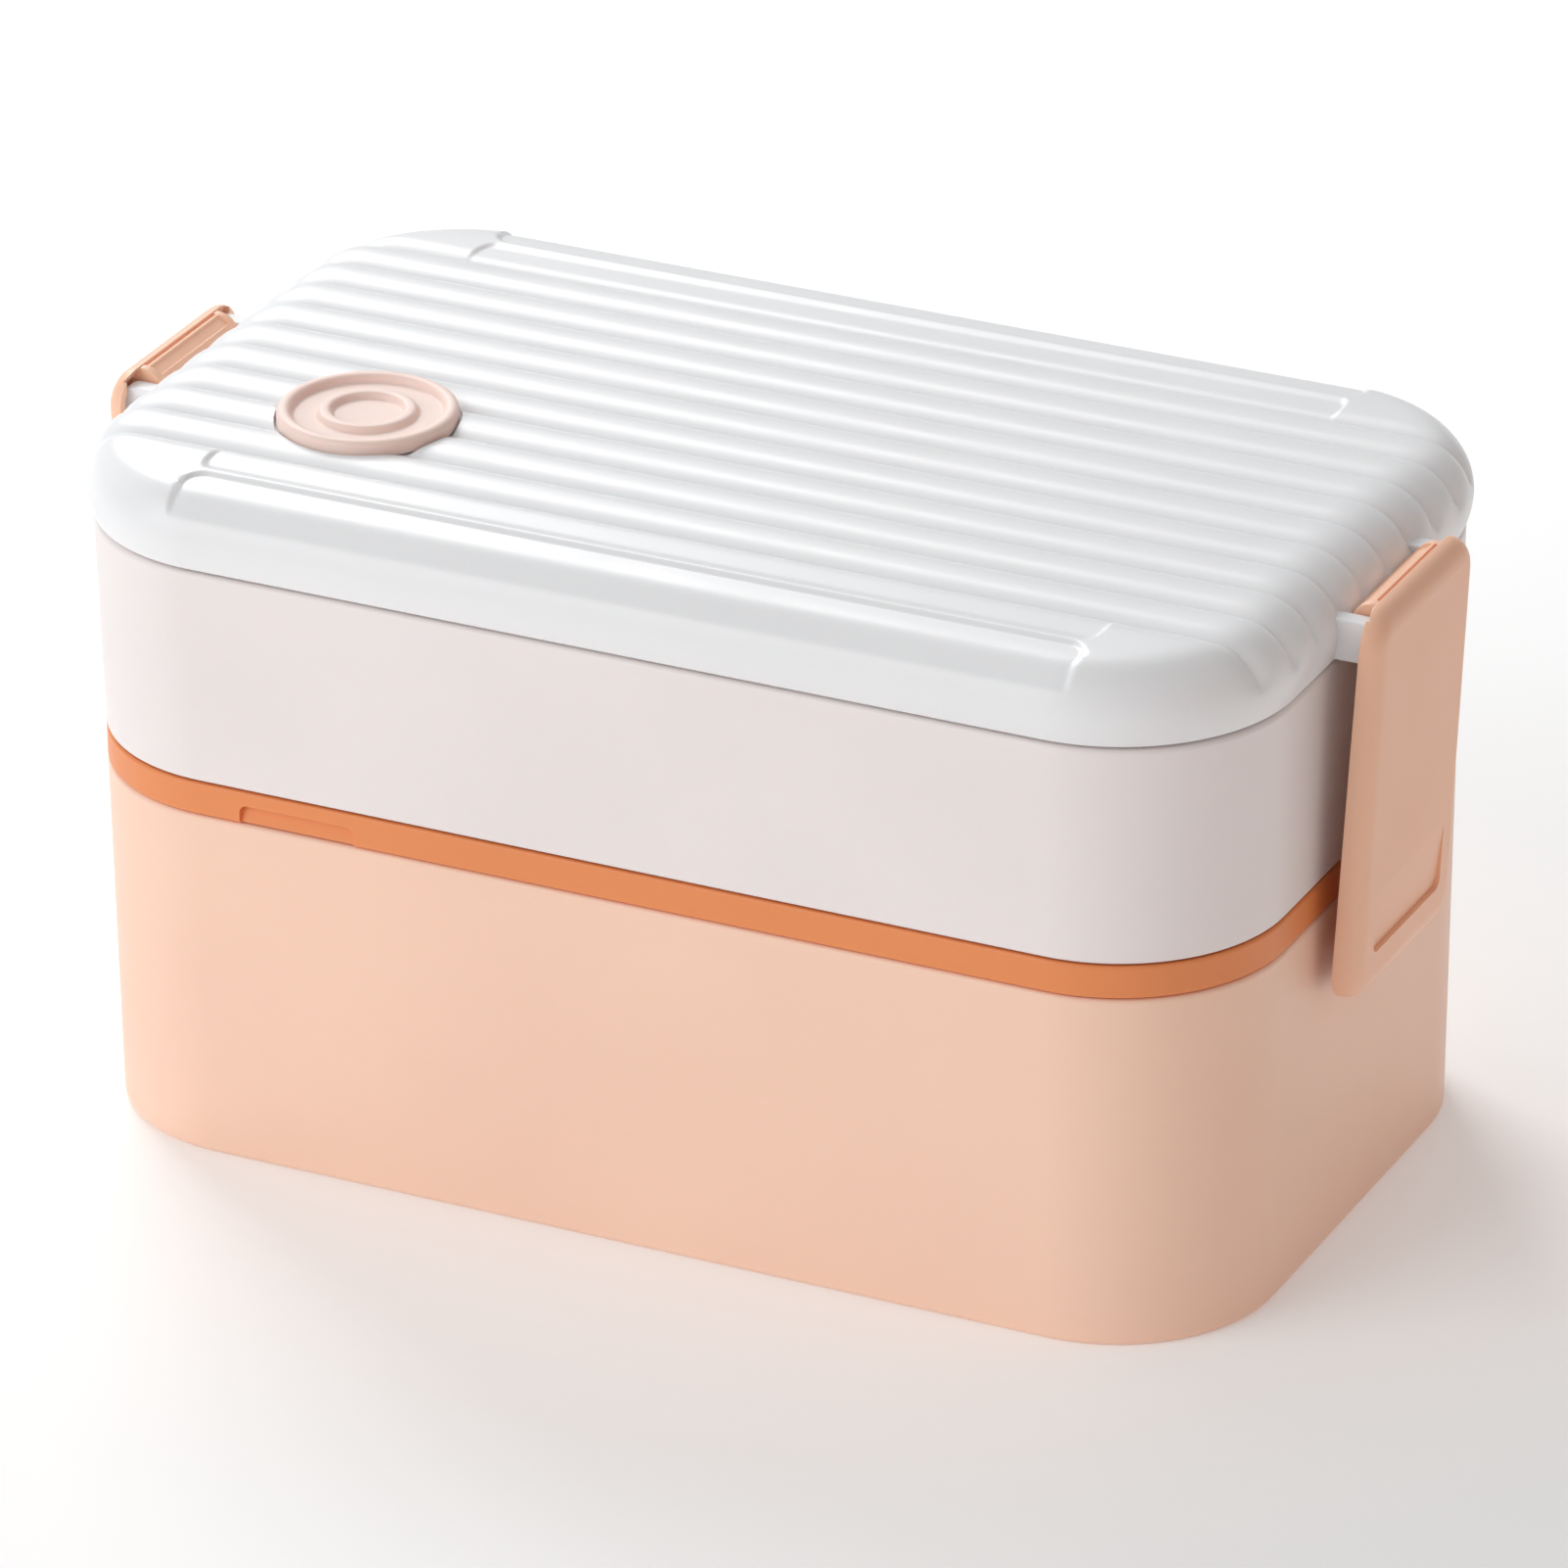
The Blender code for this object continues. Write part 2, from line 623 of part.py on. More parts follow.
def face_u(w, depth=0.0):
    """The latch's outer face, or a plane this deep under it, at a height from the axis."""
    return BARREL_RADIUS - depth + LATCH_LEAN * min(w, 0) / LATCH_DROP


def latch_slab(name, section, half_width, low, high, radius):
    """A section pushed along Y and trimmed to a rounded rectangle seen from outside."""
    slab = prism(name, section, half_width + OVERCUT)
    saved = ((high - low) / 2, half_width, radius)
    trimmer = ring_body("trimmer", [(saved, -OVERCUT), (saved, OVERCUT)])
    trimmer.data.transform(Matrix.Rotation(math.pi / 2, 4, "Y"))
    shift(trimmer, Vector((0, 0, (high + low) / 2)))
    combine(slab, trimmer, "INTERSECT")
    return slab


def latch_section():
    """The outside of the latch in section, with its top rounded about the axis."""
    low = -LATCH_DROP
    top = arc((0, 0), BARREL_RADIUS, 0, 90)
    inner = [(face_u(0, RIM_DEPTH_TOP), 0), (face_u(low, RIM_DEPTH_LOW), low)]
    return top + inner + [(face_u(low), low)]


def hollow_section():
    """The inside of the latch in section, open towards the box."""
    low = LATCH_RIM - LATCH_DROP
    top = arc((0, 0), BARREL_RADIUS - LATCH_FACE, 0, 90)
    back = [(-OVERCUT / 2, BARREL_RADIUS - LATCH_FACE), (-OVERCUT / 2, low)]
    return top + back + [(face_u(low, LATCH_FACE), low)]


def hook_section():
    """The hook in section: flat on top, sloped below."""
    tip = RIDGE_TIP - HOOK_BITE - PIN_X
    top = RIDGE_Z - FIT - PIN_Z
    low = top - HOOK_HEIGHT
    back = face_u(low, LATCH_FACE / 2)
    nose = [(tip, top), (tip, top - RIDGE_THICKNESS), (tip + RIDGE_PROUD, low)]
    return [(back, top)] + nose + [(back, low)]


def thumb_section():
    """The thumb recess in section: deepest at its lower wall, fading out upwards."""
    low = THUMB_ABOVE_EDGE - LATCH_DROP
    high = low + THUMB_HEIGHT
    return [(face_u(low, THUMB_DEPTH), low), (OVERCUT, low), (OVERCUT, high), (face_u(high), high)]


def relief_section():
    """Clears a lug's flat top while the latch turns to its opening angle."""
    level = LUG_BOSS_RADIUS + LUG_BOSS_FIT
    high = 2 * BARREL_RADIUS
    foot = level / math.sin(LATCH_OPENING)
    head = foot - high / math.tan(LATCH_OPENING)
    return [(-OVERCUT, 0), (foot, 0), (head, high), (-OVERCUT, high)]


def core_cutter():
    """The groove along the barrel's upper inner side."""
    half = CORE_WIDTH / 2
    corners = ((BARREL_RADIUS - CORE_DEPTH, -half), (OVERCUT, -half))
    corners += ((OVERCUT, half), (BARREL_RADIUS - CORE_DEPTH, half))
    cutter = prism("core", corners, CORE_LENGTH / 2)
    cutter.data.transform(Matrix.Rotation(-CORE_ANGLE, 4, "Y"))
    return cutter


def build_latch(name, side):
    """Snap latch: a hollow plate on a barrel with trunnions, and a hook near its foot."""
    top = BARREL_RADIUS
    half = LATCH_WIDTH / 2
    latch = latch_slab(name, latch_section(), half, -LATCH_DROP, top, LATCH_CORNER)
    hollow = latch_slab(
        "hollow",
        hollow_section(),
        half - LATCH_RIM,
        LATCH_RIM - LATCH_DROP,
        top - LATCH_FACE,
        HOLLOW_CORNER,
    )
    combine(latch, hollow, "DIFFERENCE")
    for along in (-1, 1):
        relief = prism("relief", relief_section(), LUG_THICKNESS / 2 + LUG_GAP)
        shift(relief, Vector((0, along * LUG_REACH, 0)))
        combine(latch, relief, "DIFFERENCE")
    combine(latch, rod("barrel", BARREL_RADIUS - FIT / 2, BARREL_LENGTH, Vector()), "UNION")
    reach = BARREL_LENGTH + 2 * (LUG_GAP + LUG_THICKNESS)
    combine(latch, rod("trunnion", TRUNNION_RADIUS, reach, Vector()), "UNION")
    combine(latch, prism("hook", hook_section(), HOOK_LENGTH / 2), "UNION")
    combine(latch, prism("thumb", thumb_section(), THUMB_WIDTH / 2), "DIFFERENCE")
    combine(latch, core_cutter(), "DIFFERENCE")
    latch.location = (side * PIN_X, 0, PIN_Z)
    latch.rotation_euler.z = 0 if side > 0 else math.pi
    return dress(latch, peach_plastic(name + "_plastic"))


# ---- assembly ---------------------------------------------------------------------------


def clear_scene():
    for obj in list(bpy.data.objects):
        bpy.data.objects.remove(obj)


def main():
    clear_scene()
    build_lower_box()
    build_mid_lid()
    mid_seal = clear_silicone("mid_lid_seal_silicone")
    seal_ring("mid_lid_seal", SEAM_OUTLINE, LOWER_RIM_Z + FIT, MID_SEAL_THICKNESS, mid_seal)
    build_upper_box()
    build_divider()
    build_lid()
    lid_seal = clear_silicone("lid_seal_silicone")
    seal_ring("lid_seal", LID_OUTLINE, UPPER_RIM_Z + FIT, LID_SEAL_THICKNESS, lid_seal)
    build_vent_plug()
    build_latch("left_latch", -1)
    build_latch("right_latch", 1)


main()
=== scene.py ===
"""Looks of a two-tier bento lunch box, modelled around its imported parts.

Metres, +Z up, the front at -Y. Every piece is made in place by an operator of its own:
boxes, lids and seals are sections carried round a rounded plan, the vent plug is turned,
and the latches are trays with a barrel and a hook.
"""

import json
import math

import bmesh
import bpy
from bpy.props import FloatProperty, FloatVectorProperty, IntProperty, PointerProperty
from bpy.types import Operator, Panel, PropertyGroup
from mathutils import Matrix, Vector


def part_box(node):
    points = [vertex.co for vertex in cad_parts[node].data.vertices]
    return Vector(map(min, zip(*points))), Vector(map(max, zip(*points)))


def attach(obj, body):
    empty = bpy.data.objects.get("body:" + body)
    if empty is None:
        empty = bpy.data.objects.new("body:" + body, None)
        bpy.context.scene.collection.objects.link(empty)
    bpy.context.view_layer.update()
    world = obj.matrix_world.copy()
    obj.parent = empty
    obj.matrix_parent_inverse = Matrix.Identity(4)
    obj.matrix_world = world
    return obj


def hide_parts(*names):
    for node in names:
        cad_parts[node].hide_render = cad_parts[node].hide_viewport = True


bl_info = {
    "name": "Bento Lunch Box",
    "version": (1, 0, 0),
    "blender": (4, 5, 0),
    "location": "3D View > Sidebar > Lunch Box",
    "description": "Models a two-tier lunch box with a ribbed lid and snap latches",
    "category": "Add Mesh",
}

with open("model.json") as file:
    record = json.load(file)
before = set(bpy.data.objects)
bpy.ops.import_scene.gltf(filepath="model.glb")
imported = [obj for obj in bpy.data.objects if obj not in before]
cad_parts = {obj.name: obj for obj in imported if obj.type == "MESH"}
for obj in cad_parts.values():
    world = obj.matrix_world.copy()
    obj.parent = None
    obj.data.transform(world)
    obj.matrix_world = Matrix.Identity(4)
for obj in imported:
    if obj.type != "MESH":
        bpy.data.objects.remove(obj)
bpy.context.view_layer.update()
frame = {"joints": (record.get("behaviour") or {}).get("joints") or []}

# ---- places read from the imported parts

LOWER_LOW, LOWER_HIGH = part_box("lower_box")
MID_LOW, MID_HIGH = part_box("mid_lid")
UPPER_LOW, UPPER_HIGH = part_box("upper_box")
LID_LOW, LID_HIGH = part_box("lid")
PLUG_LOW, PLUG_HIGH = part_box("vent_plug")
DIVIDER_LOW, DIVIDER_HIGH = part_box("divider")
LATCH_LOW, LATCH_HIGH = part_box("right_latch")
MID_SEAL_LOW, MID_SEAL_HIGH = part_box("mid_lid_seal")
LID_SEAL_LOW, LID_SEAL_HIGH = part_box("lid_seal")
HINGE = Vector(next(j["pos_m"] for j in frame["joints"] if j["child"] == "right_latch"))

VENT = (PLUG_LOW + PLUG_HIGH) / 2
VENT_PLACE = Matrix.Translation((VENT.x, VENT.y, 0))
VENT_RADIUS = (PLUG_HIGH.x - PLUG_LOW.x) / 2

EPSILON = 1e-6
OVERCUT = 0.02  # how far a cutter reaches past what it cuts
FINE = 0.0003  # rounding of small edges
TINT_SIZE, PATCH_SIZE, FLOW_SIZE = 0.06, 0.012, 0.02  # marks in moulded plastic


def length(name, description, default):
    """A size that the user can change."""
    return FloatProperty(
        name=name, description=description, default=default, precision=5, unit="LENGTH"
    )


def colour(name, description, default):
    """A colour that the user can change."""
    return FloatVectorProperty(
        name=name, description=description, default=default, size=3, min=0, max=1, subtype="COLOR"
    )


def share(name, description, default):
    """A number from nothing to all."""
    return FloatProperty(
        name=name, description=description, default=default, min=0, max=1, subtype="FACTOR"
    )


def angle(name, description, default):
    """An angle that the user can change, given in degrees."""
    return FloatProperty(
        name=name, description=description, default=math.radians(default), subtype="ANGLE"
    )


def number(name, description, default, low=0, unit="NONE"):
    """Any other number that the user can change."""
    return FloatProperty(name=name, description=description, default=default, min=low, unit=unit)


# ---- settings


class BoxSettings(PropertyGroup):
    """Sizes that the two boxes, the middle lid and the seals share."""

    corner: length("Corner", "Plan radius of the boxes' corners", 0.0256)
    draft: length("Draft", "How far the lower box narrows to its foot", 0.00067)
    foot: length("Foot", "Rounding under the lower box", 0.0012)
    ledge: length("Ledge", "From a box's outer face to its rim", 0.0019)
    rim: length("Rim", "Thickness of a box's upright rim", 0.0013)
    floor: length("Floor", "Thickness of a box's floor", 0.002)
    fillet: length("Fillet", "Inside radius between wall and floor", 0.006)
    lower_rim: length("Lower rim", "Height of the lower box's rim", 0.0017)
    upper_rim: length("Upper rim", "Height of the upper box's rim", 0.0051)
    edge: length("Edge", "Rounding of the mouldings' fine edges", 0.0003)
    rim_edge: length("Rim edge", "Rounding of a box's upper outer edge", 0.0008)
    border: length("Border", "Raised border of the middle lid", 0.0056)
    skirt: length("Skirt", "Thickness of a lid's outer wall", 0.0016)
    channel: length("Channel", "From a lid's outer face to its plug wall", 0.005)
    plug_wall: length("Plug wall", "Thickness of a lid's inner wall", 0.0012)
    mid_panel: length("Middle panel", "Thickness of the middle lid's panel", 0.0016)
    notch_from_end: length("Notch from end", "Middle of the finger notch", 0.0415)
    notch_length: length("Notch length", "Length of the finger notch", 0.0185)
    notch_height: length("Notch height", "Height of the finger notch", 0.0028)
    notch_depth: length("Notch depth", "Depth of the finger notch", 0.0012)
    notch_corner: length("Notch corner", "Radius of its upper corners", 0.0012)
    notch_lean: share("Notch lean", "Slope of the notch's face", 0.26)
    guide_height: length("Guide height", "Height of the divider's guides", 0.02)
    guide_width: length("Guide width", "Width of one guide", 0.0014)
    guide_depth: length("Guide depth", "How far a guide stands out", 0.0016)
    divider_fit: length("Divider fit", "Clearance of the divider", 0.0005)
    seal_width: length("Seal width", "Width of a silicone ring", 0.0028)
    corner_steps: IntProperty(
        name="Corner steps", description="Segments in a plan corner", default=28, min=4, max=64,
        subtype="UNSIGNED",
    )


class LidSettings(PropertyGroup):
    """Sizes of the ribbed top lid."""

    bulge: length("Bulge", "Widest stretch of the lid beyond its lower edge", 0.00096)
    bulge_height: length("Bulge height", "Of that stretch, above the lower edge", 0.0042)
    shoulder: length("Shoulder", "Rounded shoulder, measured inwards", 0.011)
    crown: length("Crown", "Radius of the top across the lid", 0.79)
    blend: length("Blend", "Softness between crown and shoulder", 0.0005)
    rib_pitch: length("Rib pitch", "From rib to rib", 0.00845)
    rib_depth: length("Rib depth", "Depth of the grooves between ribs", 0.00095)
    rib_power: number("Rib power", "Roundness of a rib: 2 is an arc", 2.7, low=1)
    rib_margin: length("Rib margin", "Least stretch outside the full ribs", 0.008)
    strip_depth: length("Strip depth", "Depth of the outer strips", 0.00042)
    strip_end: length("Strip end", "Half length of strips and facets", 0.0703)
    strip_corner: length("Strip corner", "Radius of a strip's corners", 0.0016)
    facet_depth: length("Facet depth", "Depth of the long smooth facets", 0.0005)
    facet_corner: length("Facet corner", "Radius of a facet's upper corners", 0.0028)
    land: length("Land", "Raised line between a strip and its facet", 0.0014)
    end_wall: length("End wall", "Run of the steps round strips and facets", 0.0007)
    panel: length("Panel", "From the crown's top to the panel's underside", 0.0036)
    channel_drop: length("Channel drop", "From the crown's top to the seal's seat", 0.0061)
    plug_drop: length("Plug drop", "Height of the plug wall", 0.0042)
    pocket_fit: length("Pocket fit", "Clearance round the vent plug", 0.0004)
    pocket_depth: length("Pocket depth", "Depth of the vent plug's pocket", 0.0017)
    stem_hole: length("Stem hole", "Radius of the steam hole", 0.0036)
    scoop: length("Scoop", "Radius of the finger scoop beside the vent", 0.0042)
    scoop_width: length("Scoop width", "How far the scoop shows beyond the pocket", 0.001596)
    scoop_sunk: length("Scoop sunk", "Its widest level under the crown's top", 0.0002)
    scoop_flatness: share("Scoop flatness", "Depth for its radius", 0.3)
    lug_root: length("Lug root", "How far a lug starts inside the lid's wall", 0.0016)
    lug_edge: length("Lug edge", "Rounding of a lug's edges", 0.00035)
    lug_near: length("Lug near", "A lug's inner face, from the middle", 0.0123)
    lug_thickness: length("Lug thickness", "Along the hinge axis", 0.003)
    lug_boss: length("Lug boss", "Radius of a lug about the hinge axis", 0.0017)
    lug_below: length("Lug below", "How far a lug reaches below the axis", 0.0046)
    lug_hole: length("Lug hole", "Radius of the hole for a trunnion", 0.0011)
    lug_skin: length("Lug skin", "Wall that closes the hole outwards", 0.0006)


class PlugSettings(PropertyGroup):
    """Sizes of the silicone vent plug."""

    ring: length("Ring", "Width of the outer raised ring", 0.0023)
    dish: length("Dish", "Depth of the recess inside it", 0.0012)
    inner_radius: length("Inner radius", "Outside radius of the inner ring", 0.0075)
    inner_ring: length("Inner ring", "Width of the inner ring", 0.0025)
    stem: length("Stem", "Radius of the stem", 0.0032)
    seat: length("Seat", "Height of the plug's head", 0.0024)


class LatchSettings(PropertyGroup):
    """Sizes of the two snap latches."""

    corner: length("Corner", "Radius of the plate's corners, seen from outside", 0.0055)
    barrel: length("Barrel", "Radius of the barrel on the hinge axis", 0.00355)
    barrel_inset: length("Barrel inset", "How far the barrel lies under the face", 0.00015)
    barrel_length: length("Barrel length", "Along the hinge axis", 0.0238)
    face: length("Face", "Thickness of the outer face", 0.0014)
    rim: length("Rim", "Thickness of the returning rim", 0.0016)
    depth_top: length("Depth at top", "Depth of the returning rim at the axis", 0.0031)
    depth_low: length("Depth at foot", "Depth of the returning rim at the foot", 0.0039)
    round: length("Round", "Rounding of the face, measured inwards", 0.0036)
    lean: length("Lean", "How far the face leans in from axis to foot", 0.00285)
    trunnion: length("Trunnion", "Radius of the trunnions", 0.0008)
    trunnion_reach: length("Trunnion reach", "Ends of the trunnions, from the middle", 0.0145)
    hook_length: length("Hook length", "Along the hinge axis", 0.016)
    hook_height: length("Hook height", "Height of the hook", 0.0031)
    hook_top: length("Hook top", "Top of the hook above the table", 0.0469)
    hook_flat: length("Hook flat", "Height of the hook's upright nose", 0.001)
    ridge_length: length("Ridge length", "Length of the catch ridge", 0.019)
    ridge_thickness: length("Ridge thickness", "Thickness of the catch ridge", 0.001)
    ridge_ramp: length("Ridge ramp", "Height of the ramp above the ridge", 0.0028)
    ridge_fit: length("Ridge fit", "Clearance between hook and ridge", 0.0003)
    thumb_width: length("Thumb width", "Width of the thumb recess", 0.0244)
    thumb_height: length("Thumb height", "Height of the thumb recess", 0.010)
    thumb_low: length("Thumb low", "Its lower wall, above the latch's foot", 0.0066)
    thumb_depth: length("Thumb depth", "Depth at its lower wall", 0.0008)
    valley: length("Valley", "Width and depth of the line between rim and barrel", 0.0006)
    groove_width: length("Groove width", "Groove along the barrel", 0.0022)
    groove_depth: length("Groove depth", "Depth of that groove", 0.0006)
    groove_length: length("Groove length", "Length of that groove", 0.0212)
    groove_turn: angle("Groove turn", "Where the groove lies on the barrel", 118)
    relief_above: length("Relief above", "Clearance over a lug's top", 0.00045)
    relief_beside: length("Relief beside", "Clearance on a lug's two sides", 0.0004)
    opening: angle("Opening", "Furthest the latch turns", 60)


class FinishSettings(PropertyGroup):
    """Colours and surfaces."""

    lid_white: colour("Lid white", "White of the ribbed lid", (0.87, 0.87, 0.88))
    box_white: colour("Box white", "White of the upper box", (0.88, 0.81, 0.795))
    peach: colour("Peach", "Lower box", (0.98, 0.65, 0.5))
    latch_peach: colour("Latch peach", "Snap latches", (0.97, 0.57, 0.39))
    orange: colour("Orange", "Middle lid", (0.84, 0.275, 0.09))
    pink: colour("Pink", "Vent plug", (0.94, 0.72, 0.65))
    silicone: colour("Silicone", "Seals", (0.8, 0.8, 0.77))
    plastic_roughness: share("Plastic roughness", "Satin moulded plastic", 0.42)
    lid_roughness: share("Lid roughness", "Smoother white of the lid", 0.34)
    silicone_roughness: share("Silicone roughness", "Soft silicone", 0.5)
    grain_size: length("Grain size", "Size of the mould's fine grain", 0.00022)
    grain_depth: length("Grain depth", "Height of that grain", 0.000006)


class StageSettings(PropertyGroup):
    """Camera, lights and floor."""

    turn: angle("Turn", "Camera to the right of the front", 26.01)
    rise: angle("Rise", "Camera above the table", 25.74)
    roll: angle("Roll", "Tilt of the camera", -0.458)
    distance: length("Distance", "From the camera to what it aims at", 1.5402)
    aim_height: length("Aim height", "Height that the camera aims at", 0.0503)
    aim_side: length("Aim side", "How far right of the middle it aims", 0.0005)
    lens: number("Lens", "Focal length in mm", 241.8, low=20, unit="CAMERA")
    floor_size: length("Floor size", "Side of the floor", 8.0)
    floor_grey: share("Floor grey", "How pale the floor is", 0.95)
    floor_glow: share("Floor glow", "Light that the floor gives off", 0.13)
    key_power: number("Key", "Large light behind, left", 11, unit="POWER")
    fill_power: number("Fill", "Soft light in front", 20, unit="POWER")
    warm_power: number("Warm card", "Warm light, right", 1.8, unit="POWER")
    warm: colour("Warm", "Colour of the warm card", (1.0, 0.45, 0.2))
    sky: number("Sky", "Light from all round", 0.49)
    sky_left: colour("Sky left", "Colour of the light from the left", (0.95, 0.985, 1.0))
    sky_right: colour("Sky right", "Colour of the light from the right", (0.42, 0.24, 0.15))


# ---- shaping


def smooth(low, high, value):
    """Rises from 0 to 1 with soft ends."""
    part = min(max((value - low) / (high - low), 0.0), 1.0)
    return part * part * (3 - 2 * part)


def held(value, limit):
    return min(max(value, -limit), limit)


def bevel(bm, geom, offset, segments, affect="EDGES", clamp=False):
    """Rounds edges, or the corners of a flat face."""
    bmesh.ops.bevel(
        bm,
        geom=geom,
        offset=offset,
        segments=segments,
        profile=0.5,
        affect=affect,
        material=-1,
        clamp_overlap=clamp,
    )


def level(edge):
    """Whether an edge lies in one plane across Y."""
    return abs(edge.verts[0].co.y - edge.verts[1].co.y) < EPSILON


def rounded(points, steps=5):
    """A flat line of (across, up, radius) points, with each corner turned into an arc."""
    line = [Vector(points[0][:2])]
    for before, (across, up, radius), after in zip(points, points[1:], points[2:]):
        corner = Vector((across, up))
        back = Vector(before[:2]) - corner
        on = Vector(after[:2]) - corner
        if radius <= 0:
            line.append(corner)
            continue
        half = back.angle(on) / 2
        reach = min(radius / math.tan(half), 0.49 * back.length, 0.49 * on.length)
        radius = reach * math.tan(half)
        centre = corner + (back.normalized() + on.normalized()).normalized() * (
            radius / math.sin(half)
        )
        start = corner + back.normalized() * reach - centre
        turn = start.angle_signed(corner + on.normalized() * reach - centre)
        for step in range(steps + 1):
            line.append(centre + Matrix.Rotation(-turn * step / steps, 2) @ start)
    line.append(Vector(points[-1][:2]))
    return line


def on_outline(place, outline, inset):
    """A point moved to this distance inside the rounded outline."""
    half_x, half_y, radius = outline
    middle = Vector((held(place.x, half_x - radius), held(place.y, half_y - radius)))
    out = (place.xy - middle).normalized()
    return middle + out * (radius - inset)


def plan_face(bm, outline, steps):
    """A flat face with rounded corners."""
    half_x, half_y, radius = outline
    scale = Matrix.Diagonal((half_x, half_y, 1, 1))
    made = bmesh.ops.create_grid(bm, x_segments=1, y_segments=1, size=1, matrix=scale)
    bevel(bm, made["verts"], radius, steps, "VERTICES")
    return bm.faces[:][0]


def carry_round(bm, outline, section, steps):
    """A solid whose wall follows the (inset, z) section all round the outline."""
    cap = plan_face(bm, outline, steps)
    first = section[0]
    for vert in cap.verts:
        vert.co = (*on_outline(vert.co, outline, first[0]), first[1])
    start = cap
    for inset, z in section[1:]:
        region = [cap, *cap.edges, *cap.verts]
        grown = bmesh.ops.extrude_face_region(bm, geom=region)["geom"]
        cap = next(item for item in grown if isinstance(item, bmesh.types.BMFace))
        for vert in cap.verts:
            vert.co = (*on_outline(vert.co, outline, inset), z)
    return start, cap


def prism(points, low, high, edge=0.0):
    """An (x, z) outline pushed along Y, with its edges rounded."""
    bm = bmesh.new()
    face = bm.faces.new([bm.verts.new((x, low, z)) for x, z in points])
    grown = bmesh.ops.extrude_face_region(bm, geom=[face])["geom"]
    moved = [item for item in grown if isinstance(item, bmesh.types.BMVert)]
    bmesh.ops.translate(bm, verts=moved, vec=(0, high - low, 0))
    bmesh.ops.recalc_face_normals(bm, faces=bm.faces)
    if edge:
        bevel(bm, bm.edges[:], edge, 3, clamp=True)
    return bm


def rod(radius, reach, edge, steps=64):
    """A cylinder along Y about the origin, with rounded ends."""
    bm = bmesh.new()
    bmesh.ops.create_cone(
        bm,
        cap_ends=True,
        segments=steps,
        radius1=radius,
        radius2=radius,
        depth=2 * reach,
        matrix=Matrix.Rotation(math.pi / 2, 4, "X"),
    )
    if edge:
        at_end = [e for e in bm.edges if abs(abs(e.verts[0].co.y) - reach) < EPSILON]
        bevel(bm, [e for e in at_end if level(e)], edge, 4)
    return bm


def turned(line):
    """An (r, z) line spun about Z; it starts and ends on the axis."""
    bm = bmesh.new()
    verts = [bm.verts.new((r, 0, z)) for r, z in line]
    edges = [bm.edges.new(pair) for pair in zip(verts, verts[1:])]
    bmesh.ops.spin(
        bm, geom=verts + edges, axis=(0, 0, 1), angle=2 * math.pi, steps=128, use_merge=True
    )
    bmesh.ops.remove_doubles(bm, verts=bm.verts, dist=EPSILON)
    bmesh.ops.recalc_face_normals(bm, faces=bm.faces)
    return bm


def as_object(bm, name):
    """The bmesh as a new object at the origin."""
    bmesh.ops.recalc_face_normals(bm, faces=bm.faces)
    if bm.calc_volume(signed=True) < 0:
        bmesh.ops.reverse_faces(bm, faces=bm.faces)
    mesh = bpy.data.meshes.new(name)
    bm.to_mesh(mesh)
    bm.free()
    obj = bpy.data.objects.new(name, mesh)
    bpy.context.scene.collection.objects.link(obj)
    return obj


def combine(obj, bm, operation):
    """Joins, cuts or crosses the object with another closed shape."""
    other = as_object(bm, "cutter")
    modifier = obj.modifiers.new(operation.title(), "BOOLEAN")
    modifier.operation = operation
    modifier.object = other
    modifier.solver = "EXACT"
    bpy.context.view_layer.update()
    graph = bpy.context.evaluated_depsgraph_get()
    mesh = bpy.data.meshes.new_from_object(obj.evaluated_get(graph))
    obj.modifiers.clear()
    obj.data = mesh
    bpy.data.objects.remove(other)
    if not mesh.polygons:
        raise RuntimeError(f"nothing is left of {obj.name} after {operation}")


def moved(bm, matrix):
    bmesh.ops.transform(bm, matrix=matrix, verts=bm.verts)
    return bm


def half_turn(side):
    """No turn for the right end, half a turn for the left."""
    return Matrix.Rotation((1 - side) * math.pi / 2, 4, "Z")


def finish_piece(obj, material, body, node, sharp=32):
    """Smooth shading, material, and the body and part that the piece stands for."""
    obj.data.materials.clear()
    obj.data.materials.append(material)
    obj.data.shade_smooth()
    obj.data.set_sharp_from_angle(angle=math.radians(sharp))
    normals = obj.modifiers.new("Even shading", "WEIGHTED_NORMAL")
    normals.keep_sharp = True
    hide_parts(node)
    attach(obj, body)


# ---- finishes


def set_inputs(node, values):
    for name, value in values.items():
        node.inputs[name].default_value = value


def add_node(tree, kind, inputs=None, **settings):
    """A new node with its settings, and the values of its inputs."""
    node = tree.nodes.new(kind)
    for name, value in settings.items():
        setattr(node, name, value)
    set_inputs(node, inputs or {})
    return node


def noise(tree, source, size, detail, roughness=0.5):
    """A noise whose features are about this size, in metres."""
    values = {"Scale": 1 / size, "Detail": detail, "Roughness": roughness}
    node = add_node(tree, "ShaderNodeTexNoise", values)
    tree.links.new(source, node.inputs["Vector"])
    return node.outputs["Fac"]


def spread(tree, source, low, high):
    """A noise's middle range mapped to these two values."""
    values = {"From Min": 0.3, "From Max": 0.7, "To Min": low, "To Max": high}
    node = add_node(tree, "ShaderNodeMapRange", values)
    tree.links.new(source, node.inputs["Value"])
    return node.outputs["Result"]


def blended(tree, low, high, factor):
    """A colour between two others."""
    values = {"A": (*low, 1), "B": (*high, 1)}
    mix = add_node(tree, "ShaderNodeMix", values, data_type="RGBA")
    tree.links.new(factor, mix.inputs["Factor"])
    return mix.outputs["Result"]


def bump(tree, height, distance):
    node = add_node(tree, "ShaderNodeBump", {"Distance": distance, "Strength": 1})
    tree.links.new(height, node.inputs["Height"])
    return node


